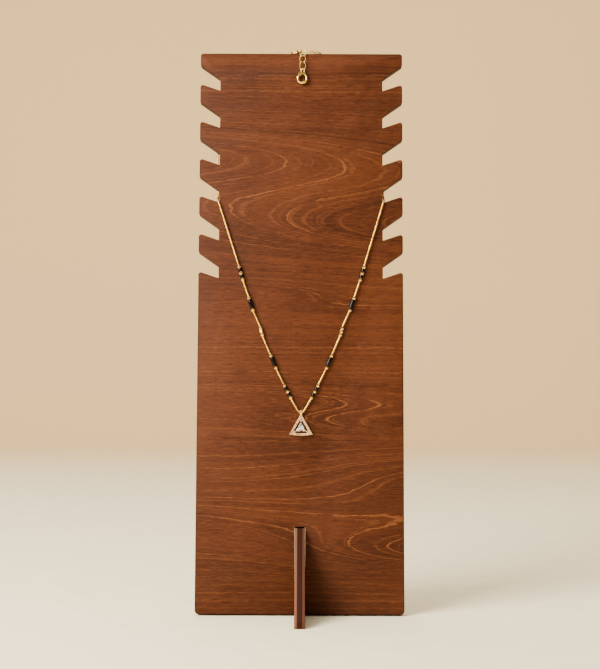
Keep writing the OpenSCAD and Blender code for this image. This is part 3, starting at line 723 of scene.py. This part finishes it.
def pendant_finish(settings):
    """Gold of the pendant: polished in front, with painted shade where its slots are deep and
    round them.
    """
    finish, worn_and_shaded = rubbed_metal(
        "pendant_gold", settings.rose_gold, settings.worn_and_shaded_gold, roughness=0.2, wear_and_shade=0.35
    )
    right, rise, depth = stone_place(finish)
    sides = side_reaches(right, rise)
    slot_rim_shade = 0.0
    for index, side in enumerate(sides):
        here = side.ramped(*SLOT_START) * (1 - side.ramped(*SLOT_END))
        for other in (sides[index - 1], sides[index - 2]):
            here = here * (1 - other.ramped(*SLOT_CORNER))
        slot_rim_shade = here + slot_rim_shade
    front = face_box("small_stones")[0].y
    deep_in = depth.ramped(front + SLOT_DEPTH[0], front + SLOT_DEPTH[1])
    # Painted shade deep in the slots and round their rims.
    slot_shade = deep_in * (1 - farthest(sides).ramped(*SLOT_WALL)) + slot_rim_shade
    share = slot_shade.math("MINIMUM", 1.0) * SLOT_SHARE
    return finish.shade(Base_Color=finish.mix(share, worn_and_shaded, settings.slot_shade))


def glass_finish(name, color):
    """Black glass: glossy, with a little unevenness in the surface."""
    finish = Finish(name, Specular_IOR_Level=0.18)
    swirl = finish.noise(SWIRL, finish.place())
    return finish.shade(
        Base_Color=finish.mix(swirl.ramped(*SWIRL_RANGE) * SWIRL_SHARE, color, SWIRL_COLOR),
        Roughness=GLASS_ROUGHNESS + swirl * SWIRL_ROUGHNESS,
        Normal=finish.bump(swirl, *SWIRL_BUMP),
    )


def small_stone_finish(bright, deep):
    """Small cut stones: facets painted light or dark, as painted reflections."""
    finish = Finish("small_stone", Specular_IOR_Level=0.4, IOR=1.6)
    across, depth, up = finish.parts_of(finish.place())
    where = finish.vector(across, depth * FACET_DEPTH, up)
    cell = finish.node(
        "ShaderNodeTexVoronoi", {}, {"Vector": where, "Scale": 1 / FACET}, out="Color"
    )
    spark, tilt, glow = finish.parts_of(cell)
    return finish.shade(
        Base_Color=finish.mix(spark.ramped(*FACET_RANGE), deep, bright),
        Roughness=STONE_ROUGHNESS + tilt * FACET_ROUGHNESS, Coat_Weight=glow * FACET_COAT,
    )


def middle_stone_finish(bright, deep):
    """The middle stone: rings of facets round its middle, each painted lighter or darker than the
    next as reflections, with painted shade toward its girdle.
    """
    finish = Finish("clear_stone", Specular_IOR_Level=0.6, IOR=1.8)
    right, rise, _ = stone_place(finish)
    reach = farthest(side_reaches(right, rise))
    ring = reach.ramped(*STONE_RINGS[0]) + reach.ramped(*STONE_RINGS[1])
    turn = right.math("ARCTAN2", rise) * (STONE_SECTORS / math.tau)
    sector = (turn + ring * RING_TURN).math("FLOOR")
    spark = finish.node(
        "ShaderNodeTexWhiteNoise", {"noise_dimensions": "2D"},
        {"Vector": finish.vector(sector, ring, 0.0)},
    )
    cloud = finish.noise(STONE_CLOUDS, finish.place())
    light = (spark * SPARK_SHARE + cloud * STONE_CLOUD_SHARE).ramped(*SPARK_RANGE)
    light = light * (1 - reach.ramped(*GIRDLE_RANGE) * GIRDLE_SHARE)
    return finish.shade(
        Base_Color=finish.mix(light, deep, bright),
        Roughness=STONE_ROUGHNESS + spark * SPARK_ROUGHNESS, Coat_Weight=spark * SPARK_COAT,
    )


def paint(name, material):
    """Gives a CAD node its finish."""
    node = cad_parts[name]
    if not node.material_slots:
        node.data.materials.append(material)
    for slot in node.material_slots:
        slot.material = material


# Making and shaping pieces

# Points nearer than this are one, and faces within this angle are flat.
MERGE = 0.001 * MM
FLAT = math.radians(1)
# Edges sharper than this are softened, in this many steps.
SHARP = math.radians(25)
ARRIS_STEPS = 3
# Two triangles of a wire within these angles become one quad.
QUAD_BEND = math.radians(50)
QUAD_SKEW = math.radians(60)
# Edges sharper than these, in degrees, stay crisp: on the wood, on glass and on round pieces.
CRISP_WOOD = 30
CRISP_GLASS = 50
CRISP_ROUND = 60
# Share of a wire's diameter that it grows by before it is rounded, which thins it again.
WIRE_SWELL = 0.06
WIRE_ROUNDS = 2


def pick_none():
    """Leaves nothing selected."""
    if bpy.context.object and bpy.context.object.mode != "OBJECT":
        bpy.ops.object.mode_set(mode="OBJECT")
    bpy.ops.object.select_all(action="DESELECT")


def pick(piece):
    """Selects one piece and makes it active."""
    pick_none()
    piece.select_set(True)
    bpy.context.view_layer.objects.active = piece


def edit(piece):
    """Opens a piece in edit mode with nothing selected."""
    pick(piece)
    bpy.ops.object.mode_set(mode="EDIT")
    bpy.ops.mesh.select_all(action="DESELECT")


def edit_all(piece):
    """Opens a piece in edit mode with all of it selected."""
    edit(piece)
    bpy.ops.mesh.select_all(action="SELECT")


def finish_edit():
    """Goes back to object mode."""
    bpy.ops.object.mode_set(mode="OBJECT")


def select_points(piece, test):
    """Opens a piece in edit mode with the points selected that pass the test."""
    edit(piece)
    finish_edit()
    for vertex in piece.data.vertices:
        vertex.select = test(vertex.co)
    bpy.ops.object.mode_set(mode="EDIT")
    bpy.ops.mesh.select_mode(type="VERT")


def select_edges(piece, test):
    """Opens a piece in edit mode with the edges selected whose two ends pass the test."""
    edit(piece)
    finish_edit()
    points = piece.data.vertices
    for edge in piece.data.edges:
        edge.select = test(points[edge.vertices[0]].co, points[edge.vertices[1]].co)
    bpy.ops.object.mode_set(mode="EDIT")
    bpy.ops.mesh.select_mode(type="EDGE")


def add_modifier(piece, kind, **settings):
    """Adds a modifier, sets it and applies it."""
    pick(piece)
    modifier = piece.modifiers.new(kind.lower(), kind)
    for name, value in settings.items():
        setattr(modifier, name, value)
    bpy.ops.object.modifier_apply(modifier=modifier.name)


def new_piece(name, mesh):
    """An object at the origin that shows a mesh."""
    piece = bpy.data.objects.new(name, mesh)
    bpy.context.scene.collection.objects.link(piece)
    return piece


def merged_copy(node, name):
    """A copy of a node's solid with its triangles joined, open in edit mode and all selected."""
    piece = new_piece(name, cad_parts[node].data.copy())
    edit_all(piece)
    bpy.ops.mesh.remove_doubles(threshold=MERGE)
    return piece


def settle(piece, body, slot, material, *nodes):
    """Finishes a piece: its paint, what it rides on and the nodes that it stands for."""
    piece.data.materials.clear()
    piece.data.materials.append(material)
    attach(piece, body)
    if nodes:
        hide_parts(*nodes)
    pick_none()


def smooth(piece, degrees):
    """Smooth shading except across edges sharper than the angle."""
    pick(piece)
    bpy.ops.object.shade_smooth_by_angle(angle=math.radians(degrees))


def softened_copy(node, name, width):
    """A copy of a node's solid, merged to its flat faces, with its sharp edges rounded."""
    piece = merged_copy(node, name)
    bpy.ops.mesh.dissolve_limited(angle_limit=FLAT)
    bpy.ops.mesh.select_all(action="DESELECT")
    bpy.ops.mesh.edges_select_sharp(sharpness=SHARP)
    bpy.ops.mesh.bevel(offset=width, segments=ARRIS_STEPS, affect="EDGES")
    finish_edit()
    smooth(piece, CRISP_WOOD)
    return piece


def smooth_wire(node, name, wire):
    """A copy of a node's six-sided wire, merged and rounded, as thick as before."""
    piece = merged_copy(node, name)
    bpy.ops.mesh.tris_convert_to_quads(face_threshold=QUAD_BEND, shape_threshold=QUAD_SKEW)
    bpy.ops.transform.shrink_fatten(value=wire * WIRE_SWELL)
    finish_edit()
    add_modifier(piece, "SUBSURF", levels=WIRE_ROUNDS)
    pick(piece)
    bpy.ops.object.shade_smooth()
    return piece


def lathe(name, profile, sides):
    """Spins a closed profile of radius and height, in millimetres, about the Z axis."""
    mesh = bpy.data.meshes.new(name)
    ring = [(radius * MM, 0, height * MM) for radius, height in profile]
    mesh.from_pydata(ring, [(i, (i + 1) % len(ring)) for i in range(len(ring))], [])
    piece = new_piece(name, mesh)
    edit_all(piece)
    bpy.ops.mesh.spin(steps=sides, angle=math.tau, center=(0, 0, 0), axis=(0, 0, 1))
    bpy.ops.mesh.select_all(action="SELECT")
    bpy.ops.mesh.remove_doubles(threshold=MERGE)
    bpy.ops.mesh.normals_make_consistent(inside=False)
    finish_edit()
    return piece


def face_box(node):
    """Lowest and highest corner of a node, from the middle of the board's top edge, in metres."""
    places = [FROM_TOP @ v.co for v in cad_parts[node].data.vertices]
    low = Vector([min(p[axis] for p in places) for axis in range(3)])
    high = Vector([max(p[axis] for p in places) for axis in range(3)])
    return low, high


# The stage

# The floor: its size, its middle, the height of the backdrop and the rounding between them.
FLOOR_SIZE = (8, 5, 1)
FLOOR_MIDDLE = (0, -0.6, 0)
BACKDROP_H = 2.5
BACKDROP_CURVE = 0.4
BACKDROP_STEPS = 16
# Where the floor's colour gives way to the backdrop's, and its faint flecks.
BACKDROP_RANGE = (0.9, 1.7)
FLECKS = Noise(60.0, 4.0)
FLECK_RANGE = (0.3, 0.7)
FLECK_SHARE = 0.1
FLECK_DARK = 0.85
NO_LIGHT = (0.0, 0.0, 0.0, 1.0)

# The soft lights: name, place, size, the setting that holds the power, and colour.
Light = namedtuple("Light", "name place size power color")
LIGHTS = [
    Light("key_light", (-0.8, -0.75, 0.75), 0.7, "key_power", (1.0, 0.95, 0.88)),
    Light("fill_light", (-0.2, -1.7, 0.6), 0.8, "fill_power", (1.0, 0.97, 0.93)),
    Light("top_light", (-0.3, 0.35, 1.6), 1.3, "top_power", (1.0, 0.97, 0.92)),
]
LIGHTS_AIM = Vector((0, 0, 0.17))
SURROUND_COLOR = (1.0, 0.89, 0.74, 1.0)
SURROUND_STRENGTH = 0.4

# The camera: its place across, the width of its sensor in millimetres, and its nearest view.
CAMERA_X = -0.0003
SENSOR_W = 36
NEAREST = 0.05


def darker(color, share):
    """The same colour with less light."""
    return (color[0] * share, color[1] * share, color[2] * share, 1.0)


def floor_finish(settings):
    """Pale paper whose far part glows a little."""
    floor, backdrop = settings.floor_color, settings.backdrop_color
    finish = Finish(
        "floor_paper", Roughness=0.9, Specular_IOR_Level=0.2,
        Emission_Strength=settings.backdrop_glow,
    )
    here = finish.place()
    far = finish.parts_of(here)[1].ramped(*BACKDROP_RANGE)
    fleck = finish.noise(FLECKS, here).ramped(*FLECK_RANGE) * FLECK_SHARE
    paper = finish.mix(far, floor, backdrop)
    return finish.shade(
        Base_Color=finish.mix(fleck, paper, darker(backdrop, FLECK_DARK)),
        Emission_Color=finish.mix(far, NO_LIGHT, backdrop),
    )


def lay_floor(settings):
    """A pale floor that curves up into a plain backdrop."""
    bpy.ops.mesh.primitive_plane_add(size=1, location=(0, 0, 0))
    floor = bpy.context.object
    floor.name = "floor"
    edit_all(floor)
    bpy.ops.transform.resize(value=FLOOR_SIZE, center_override=(0, 0, 0))
    bpy.ops.transform.translate(value=FLOOR_MIDDLE)
    finish_edit()
    select_points(floor, lambda p: p.y > 0)
    bpy.ops.mesh.extrude_region_move(TRANSFORM_OT_translate={"value": (0, 0, BACKDROP_H)})
    finish_edit()
    select_edges(floor, lambda a, b: min(a.y, b.y) > 0 and max(a.z, b.z) < BACKDROP_H / 2)
    bpy.ops.mesh.bevel(offset=BACKDROP_CURVE, segments=BACKDROP_STEPS, affect="EDGES")
    finish_edit()
    smooth(floor, CRISP_ROUND)
    floor.data.materials.append(floor_finish(settings))
    pick_none()


def hang_lights(settings):
    """A large soft key light on the left, a weaker one in front, one above and a pale surround."""
    for source in LIGHTS:
        bpy.ops.object.light_add(type="AREA", location=source.place)
        light = bpy.context.object
        light.name = source.name
        light.data.size = source.size
        light.data.energy = getattr(settings, source.power)
        light.data.color = source.color
        light.rotation_mode = "QUATERNION"
        aim = LIGHTS_AIM - Vector(source.place)
        light.rotation_quaternion = aim.to_track_quat("-Z", "Y")
    world = bpy.data.worlds.new("soft_surround")
    world.use_nodes = True
    sky = world.node_tree.nodes["Background"]
    sky.inputs["Color"].default_value = SURROUND_COLOR
    sky.inputs["Strength"].default_value = SURROUND_STRENGTH
    bpy.context.scene.world = world
    pick_none()


def aim_camera(settings):
    """The camera looks level along +Y, as the photo does."""
    bpy.ops.object.camera_add(location=(CAMERA_X, -settings.camera_back, settings.camera_height))
    camera = bpy.context.object
    camera.name = "photo_camera"
    camera.rotation_mode = "QUATERNION"
    level = Matrix.Rotation(math.pi / 2, 4, "X") @ Matrix.Rotation(settings.camera_roll, 4, "Z")
    camera.rotation_quaternion = level.to_quaternion()
    camera.data.lens = settings.lens
    camera.data.sensor_width = SENSOR_W
    camera.data.sensor_fit = "AUTO"
    camera.data.clip_start = NEAREST
    bpy.context.scene.camera = camera
    pick_none()


class StageOperator(bpy.types.Operator):
    """Adds the floor, the soft lights and the camera at the photo's angle"""

    bl_idname = "necklace.stage"
    bl_label = "Stage"

    def execute(self, context):
        settings = context.scene.stage_settings
        lay_floor(settings)
        hang_lights(settings)
        aim_camera(settings)
        return {"FINISHED"}


# The stand

# The foot's edges are less rounded than the board's.
FOOT_ARRIS_SHARE = 0.6


class StandOperator(bpy.types.Operator):
    """Dresses the board and its foot: rounded edges and stained plywood"""

    bl_idname = "necklace.stand"
    bl_label = "Stand"

    def execute(self, context):
        settings = context.scene.stand_settings
        board = softened_copy("display_board", "stained_board", settings.arris)
        settle(board, "stand", "board_wood", board_finish(settings), "display_board")
        foot = softened_copy("board_foot", "stained_foot", settings.arris * FOOT_ARRIS_SHARE)
        settle(foot, "stand", "foot_wood", foot_finish(settings), "board_foot")
        return {"FINISHED"}


# The chain

# Corners of the route are eased over this reach in millimetres, at most this share of a run, in
# this many steps.
EASE_REACH = 1.6
EASE_SHARE = 0.3
EASE_STEPS = 5

# One link: its sides, the cuts along it, and the share of its length at each end that stays thin.
LINK_SIDES = 12
LINK_CUTS = 2
LINK_END = 0.1
# Ends of two links nearer than this are joined.
LINK_MERGE = 0.01 * MM


def front_point(index, side):
    """A corner of a front strand: -1 is the left strand and 1 the right."""
    across, up = FRONT_ROUTE[index]
    return (NECKLACE_X + side * across, FRONT_N, up)


def notch_point(point, side):
    """A corner of the route through the notch of one side."""
    beyond, share, up = point
    across = side * (NOTCH_WALL_X + CHAIN_D / 2 + beyond)
    return (across, FRONT_N + share * (BACK_N - FRONT_N), up)


def half_route(side):
    """One front strand and its way through the notch."""
    front = [front_point(i, side) for i in range(1, len(FRONT_ROUTE))]
    return front + [notch_point(point, side) for point in NOTCH_ROUTE]


def cap_route(node):
    """Where the chain ends in a cap and where it leaves it."""
    low, high = face_box(node)
    across, into = (low.x + high.x) / 2 / MM, (low.y + high.y) / 2 / MM
    foot = low.z / MM
    return [(across, into, foot + CAP_GRIP), (across, into, foot - CAP_RUN_OUT)]


def chain_route():
    """The whole chain from its left end to its right end, in millimetres from TOP."""
    left = [(across, BACK_N, up) for across, up in LEFT_ROUTE]
    right = [(across, BACK_N, up) for across, up in RIGHT_ROUTE]
    return (
        cap_route("end_cap_left") + left[::-1] + half_route(-1)[::-1]
        + [front_point(0, 1)] + half_route(1) + right + cap_route("end_cap_right")[::-1]
    )


def eased(route):
    """A route whose corners are turned into short curves."""
    points = [Vector(p) for p in route]
    line = [points[0]]
    for before, corner, after in zip(points, points[1:], points[2:]):
        back = min(EASE_REACH, (before - corner).length * EASE_SHARE)
        ahead = min(EASE_REACH, (after - corner).length * EASE_SHARE)
        start = corner + (before - corner).normalized() * back
        end = corner + (after - corner).normalized() * ahead
        for k in range(EASE_STEPS + 1):
            t = k / EASE_STEPS
            line.append(start * (1 - t) ** 2 + corner * 2 * t * (1 - t) + end * t ** 2)
    line.append(points[-1])
    return line


def chain_curve():
    """The line that the chain follows, as a curve in metres."""
    line = eased(chain_route())
    curve = bpy.data.curves.new("chain_line", "CURVE")
    curve.dimensions = "3D"
    spline = curve.splines.new("POLY")
    spline.points.add(len(line) - 1)
    for point, place in zip(spline.points, line):
        point.co = (*(TOP @ (place * MM)), 1)
    return new_piece("chain_line", curve)


def first_link(settings):
    """One open link along X, thicker at its middle than at its ends."""
    pitch, waist = settings.link_pitch, settings.link_waist
    bpy.ops.mesh.primitive_cylinder_add(
        vertices=LINK_SIDES, radius=CHAIN_D / 2 * MM * waist, depth=pitch, end_fill_type="NOTHING"
    )
    link = bpy.context.object
    link.name = "fine_chain"
    edit_all(link)
    bpy.ops.transform.rotate(value=math.pi / 2, orient_axis="Y", center_override=(0, 0, 0))
    bpy.ops.transform.translate(value=(pitch / 2, 0, 0))
    finish_edit()
    select_edges(link, lambda a, b: abs(a.x - b.x) > pitch / 2)
    bpy.ops.mesh.subdivide(number_cuts=LINK_CUTS)
    finish_edit()
    select_points(link, lambda p: LINK_END * pitch < p.x < (1 - LINK_END) * pitch)
    bpy.ops.transform.resize(value=(1.0, 1 / waist, 1 / waist), center_override=(0, 0, 0))
    finish_edit()
    return link


def make_chain(settings, material):
    """The fine chain: one short link, repeated and bent along the route."""
    chain = first_link(settings)
    line = chain_curve()
    add_modifier(
        chain, "ARRAY", fit_type="FIT_CURVE", curve=line, use_merge_vertices=True,
        merge_threshold=LINK_MERGE,
    )
    add_modifier(chain, "CURVE", object=line, deform_axis="POS_X")
    bpy.data.objects.remove(line)
    smooth(chain, CRISP_ROUND)
    settle(chain, "stand", "chain_gold", material, "chain")


class ChainOperator(bpy.types.Operator):
    """Makes the fine gold chain along the necklace's route"""

    bl_idname = "necklace.chain"
    bl_label = "Chain"

    def execute(self, context):
        settings = context.scene.necklace_settings
        make_chain(settings, metal_finish(
            "chain_gold", settings.gold, settings.worn_and_shaded_gold,
            roughness=0.24, wear_and_shade=0.8, metallic=0.85,
        ))
        return {"FINISHED"}


# The beads

# Bore of a bead, and the closed outline of half its section: radius and height.
BORE_R = 0.7
GOLD_PROFILE = [
    (BORE_R, -0.6), (0.86, -0.9), (1.04, -0.62), (1.2, 0),
    (1.04, 0.62), (0.86, 0.9), (BORE_R, 0.6),
]
LARGE_PROFILE = [
    (BORE_R, -0.7), (0.9, -1), (1.12, -0.68), (1.3, 0),
    (1.12, 0.68), (0.9, 1), (BORE_R, 0.7),
]
BLACK_PROFILE = [
    (BORE_R, -0.8), (0.76, -0.94), (0.92, -1.02), (1.1, -0.9), (1.19, -0.6), (1.2, 0),
    (1.19, 0.6), (1.1, 0.9), (0.92, 1.02), (0.76, 0.94), (BORE_R, 0.8),
]
TUBE_PROFILE = [
    (BORE_R, -2.75), (0.76, -2.9), (0.95, -2.95), (1.12, -2.85), (1.2, -2.6), (1.2, 0),
    (1.2, 2.6), (1.12, 2.85), (0.95, 2.95), (0.76, 2.9), (BORE_R, 2.75),
]
# Each kind of bead: its profile, its facets round and the slot of its finish.
BEAD_SHAPES = {
    "gold": (GOLD_PROFILE, 10, "bead_gold"), "large": (LARGE_PROFILE, 12, "bead_gold"),
    "black": (BLACK_PROFILE, 16, "black_bead"), "tube": (TUBE_PROFILE, 16, "black_bead"),
}


def bead_frame(node, side):
    """Place and turn of a bead on its strand."""
    low, high = face_box(node)
    middle = (low + high) / 2
    corners = [Vector(front_point(i, side)) * MM for i in range(1, len(FRONT_ROUTE))]
    start, end = min(
        zip(corners, corners[1:]), key=lambda ends: ((ends[0] + ends[1]) / 2 - middle).length
    )
    run = end - start
    turn = Matrix.Rotation(math.atan2(run.x, run.z), 4, "Y")
    return TOP @ Matrix.Translation(middle) @ turn


def make_beads(finishes):
    """Cut gold beads and black glass beads, one for each bead of the two strands."""
    shapes = {}
    for kind, (profile, sides, slot) in BEAD_SHAPES.items():
        shapes[kind] = lathe("bead_shape_" + kind, profile, sides)
        if slot == "black_bead":
            smooth(shapes[kind], CRISP_GLASS)
    for side_name, side in (("left", -1), ("right", 1)):
        for number, kind in enumerate(BEAD_KINDS, 1):
            node = f"bead_{side_name}_{number}"
            piece = new_piece("cut_" + node, shapes[kind].data.copy())
            piece.data.transform(bead_frame(node, side))
            slot = BEAD_SHAPES[kind][2]
            settle(piece, "stand", slot, finishes[slot], node)
    for shape in shapes.values():
        bpy.data.objects.remove(shape)


class BeadsOperator(bpy.types.Operator):
    """Cuts the gold and black beads of both strands"""

    bl_idname = "necklace.beads"
    bl_label = "Beads"

    def execute(self, context):
        settings = context.scene.necklace_settings
        make_beads({
            "bead_gold": metal_finish(
                "bead_gold", settings.bead_gold, settings.worn_and_shaded_gold, roughness=0.1, wear_and_shade=0.45
            ),
            "black_bead": glass_finish("black_bead", settings.black_glass),
        })
        return {"FINISHED"}


# The pendant

# The gold grains between the small stones, in millimetres: radius, distance from the stones'
# line, depth behind their front, the least distance from a stone's middle, and roundness.
GRAIN_R = 0.17
GRAIN_SIDE = 0.46
GRAIN_DEPTH = 0.25
GRAIN_CLEAR = 0.62
GRAIN_ROUNDS = 2
# Stones nearer than this are neighbours.
STONE_REACH = 1.5


def stone_places():
    """The middle of each small stone, in millimetres from TOP."""
    merged_copy("small_stones", "stone_copy")
    bpy.ops.mesh.separate(type="LOOSE")
    finish_edit()
    loose = list(bpy.context.selected_objects)
    places = []
    for stone in loose:
        corners = [FROM_TOP @ vertex.co / MM for vertex in stone.data.vertices]
        places.append(sum(corners, Vector()) / len(corners))
    pick_none()
    for stone in loose:
        bpy.data.objects.remove(stone)
    return sorted(places, key=tuple)


def grain_places(stones):
    """A pair of places beside the middle of each two neighbouring stones."""
    places = []
    for index, first in enumerate(stones):
        for second in stones[index + 1:]:
            run = second - first
            if run.length > STONE_REACH:
                continue
            aside = Vector((-run.z, 0, run.x)).normalized() * GRAIN_SIDE
            for place in ((first + second) / 2 + aside, (first + second) / 2 - aside):
                off_stones = all((place - stone).length > GRAIN_CLEAR for stone in stones)
                if off_stones and all((place - other).length > 2 * GRAIN_R for other in places):
                    places.append(place)
    return places


def make_grains(material):
    """Round gold grains that hold the small stones."""
    bpy.ops.mesh.primitive_ico_sphere_add(subdivisions=GRAIN_ROUNDS, radius=GRAIN_R * MM)
    grain = bpy.context.object
    front = face_box("small_stones")[0].y + GRAIN_DEPTH * MM
    copies = []
    for place in grain_places(stone_places()):
        copy = new_piece("grain_copy", grain.data.copy())
        copy.data.transform(TOP @ Matrix.Translation((place.x * MM, front, place.z * MM)))
        copies.append(copy)
    bpy.data.objects.remove(grain)
    pick_none()
    for copy in copies:
        copy.select_set(True)
    bpy.context.view_layer.objects.active = copies[0]
    bpy.ops.object.join()
    piece = bpy.context.object
    piece.name = "pave_grains"
    smooth(piece, CRISP_ROUND)
    settle(piece, "pendant", "pendant_gold", material)


class PendantOperator(bpy.types.Operator):
    """Finishes the pendant's frame and its stones"""

    bl_idname = "necklace.pendant"
    bl_label = "Pendant"

    def execute(self, context):
        settings = context.scene.necklace_settings
        gold = pendant_finish(settings)
        paint("pendant_frame", gold)
        make_grains(gold)
        paint("middle_stone", middle_stone_finish(settings.lit_white_stone, settings.shaded_gray_stone))
        paint("small_stones", small_stone_finish(settings.lit_peach_stone, settings.shaded_brown_stone))
        return {"FINISHED"}


# The clasps and links

# Diameter of the wire of each kind of link.
LINK_WIRES = {
    "top_link": 0.6 * MM, "extender_link_1": 0.6 * MM, "extender_link_2": 0.6 * MM,
    "jump_ring": 0.6 * MM, "small_links": 0.45 * MM,
}
CLASP_NODES = [
    "hanging_clasp", "hanging_clasp_lever", "lying_clasp", "lying_clasp_lever",
    "end_cap_left", "end_cap_right",
]


class ClaspsOperator(bpy.types.Operator):
    """Finishes the clasps, the links and the caps"""

    bl_idname = "necklace.clasps"
    bl_label = "Clasps and links"

    def execute(self, context):
        settings = context.scene.necklace_settings
        golds = settings.clasp_gold, settings.worn_and_shaded_olive
        link_gold = metal_finish("link_gold", *golds, roughness=0.18, wear_and_shade=0.75)
        clasp_gold = metal_finish("clasp_gold", *golds, roughness=0.15, wear_and_shade=0.6)
        for name, wire in LINK_WIRES.items():
            link = smooth_wire(name, "round_" + name, wire)
            settle(link, "stand", "link_gold", link_gold, name)
        for name in CLASP_NODES:
            paint(name, clasp_gold)
        return {"FINISHED"}


OPERATORS = [
    StageOperator, StandOperator, ChainOperator, BeadsOperator, PendantOperator, ClaspsOperator,
]


class NecklacePanel(bpy.types.Panel):
    """The necklace's settings and its pieces"""

    bl_label = "Necklace stand"
    bl_idname = "VIEW3D_PT_necklace"
    bl_space_type = "VIEW_3D"
    bl_region_type = "UI"
    bl_category = "Necklace"

    def draw(self, context):
        scene = context.scene
        for settings in (scene.stage_settings, scene.stand_settings, scene.necklace_settings):
            box = self.layout.box()
            for name in settings.__annotations__:
                box.prop(settings, name)
        for operator in OPERATORS:
            self.layout.operator(operator.bl_idname)


SETTINGS = {
    "stage_settings": StageSettings,
    "stand_settings": StandSettings,
    "necklace_settings": NecklaceSettings,
}


def register():
    """Adds the classes, and the settings to each scene."""
    for kind in [*SETTINGS.values(), *OPERATORS, NecklacePanel]:
        bpy.utils.register_class(kind)
    for name, kind in SETTINGS.items():
        setattr(bpy.types.Scene, name, bpy.props.PointerProperty(type=kind))


def unregister():
    """Takes the settings and the classes away."""
    for name in SETTINGS:
        delattr(bpy.types.Scene, name)
    for kind in reversed([*SETTINGS.values(), *OPERATORS, NecklacePanel]):
        bpy.utils.unregister_class(kind)


def main():
    """Dresses the frame."""
    register()
    bpy.ops.necklace.stage()
    bpy.ops.necklace.stand()
    bpy.ops.necklace.chain()
    bpy.ops.necklace.beads()
    bpy.ops.necklace.pendant()
    bpy.ops.necklace.clasps()


if __name__ == "__main__":
    main()
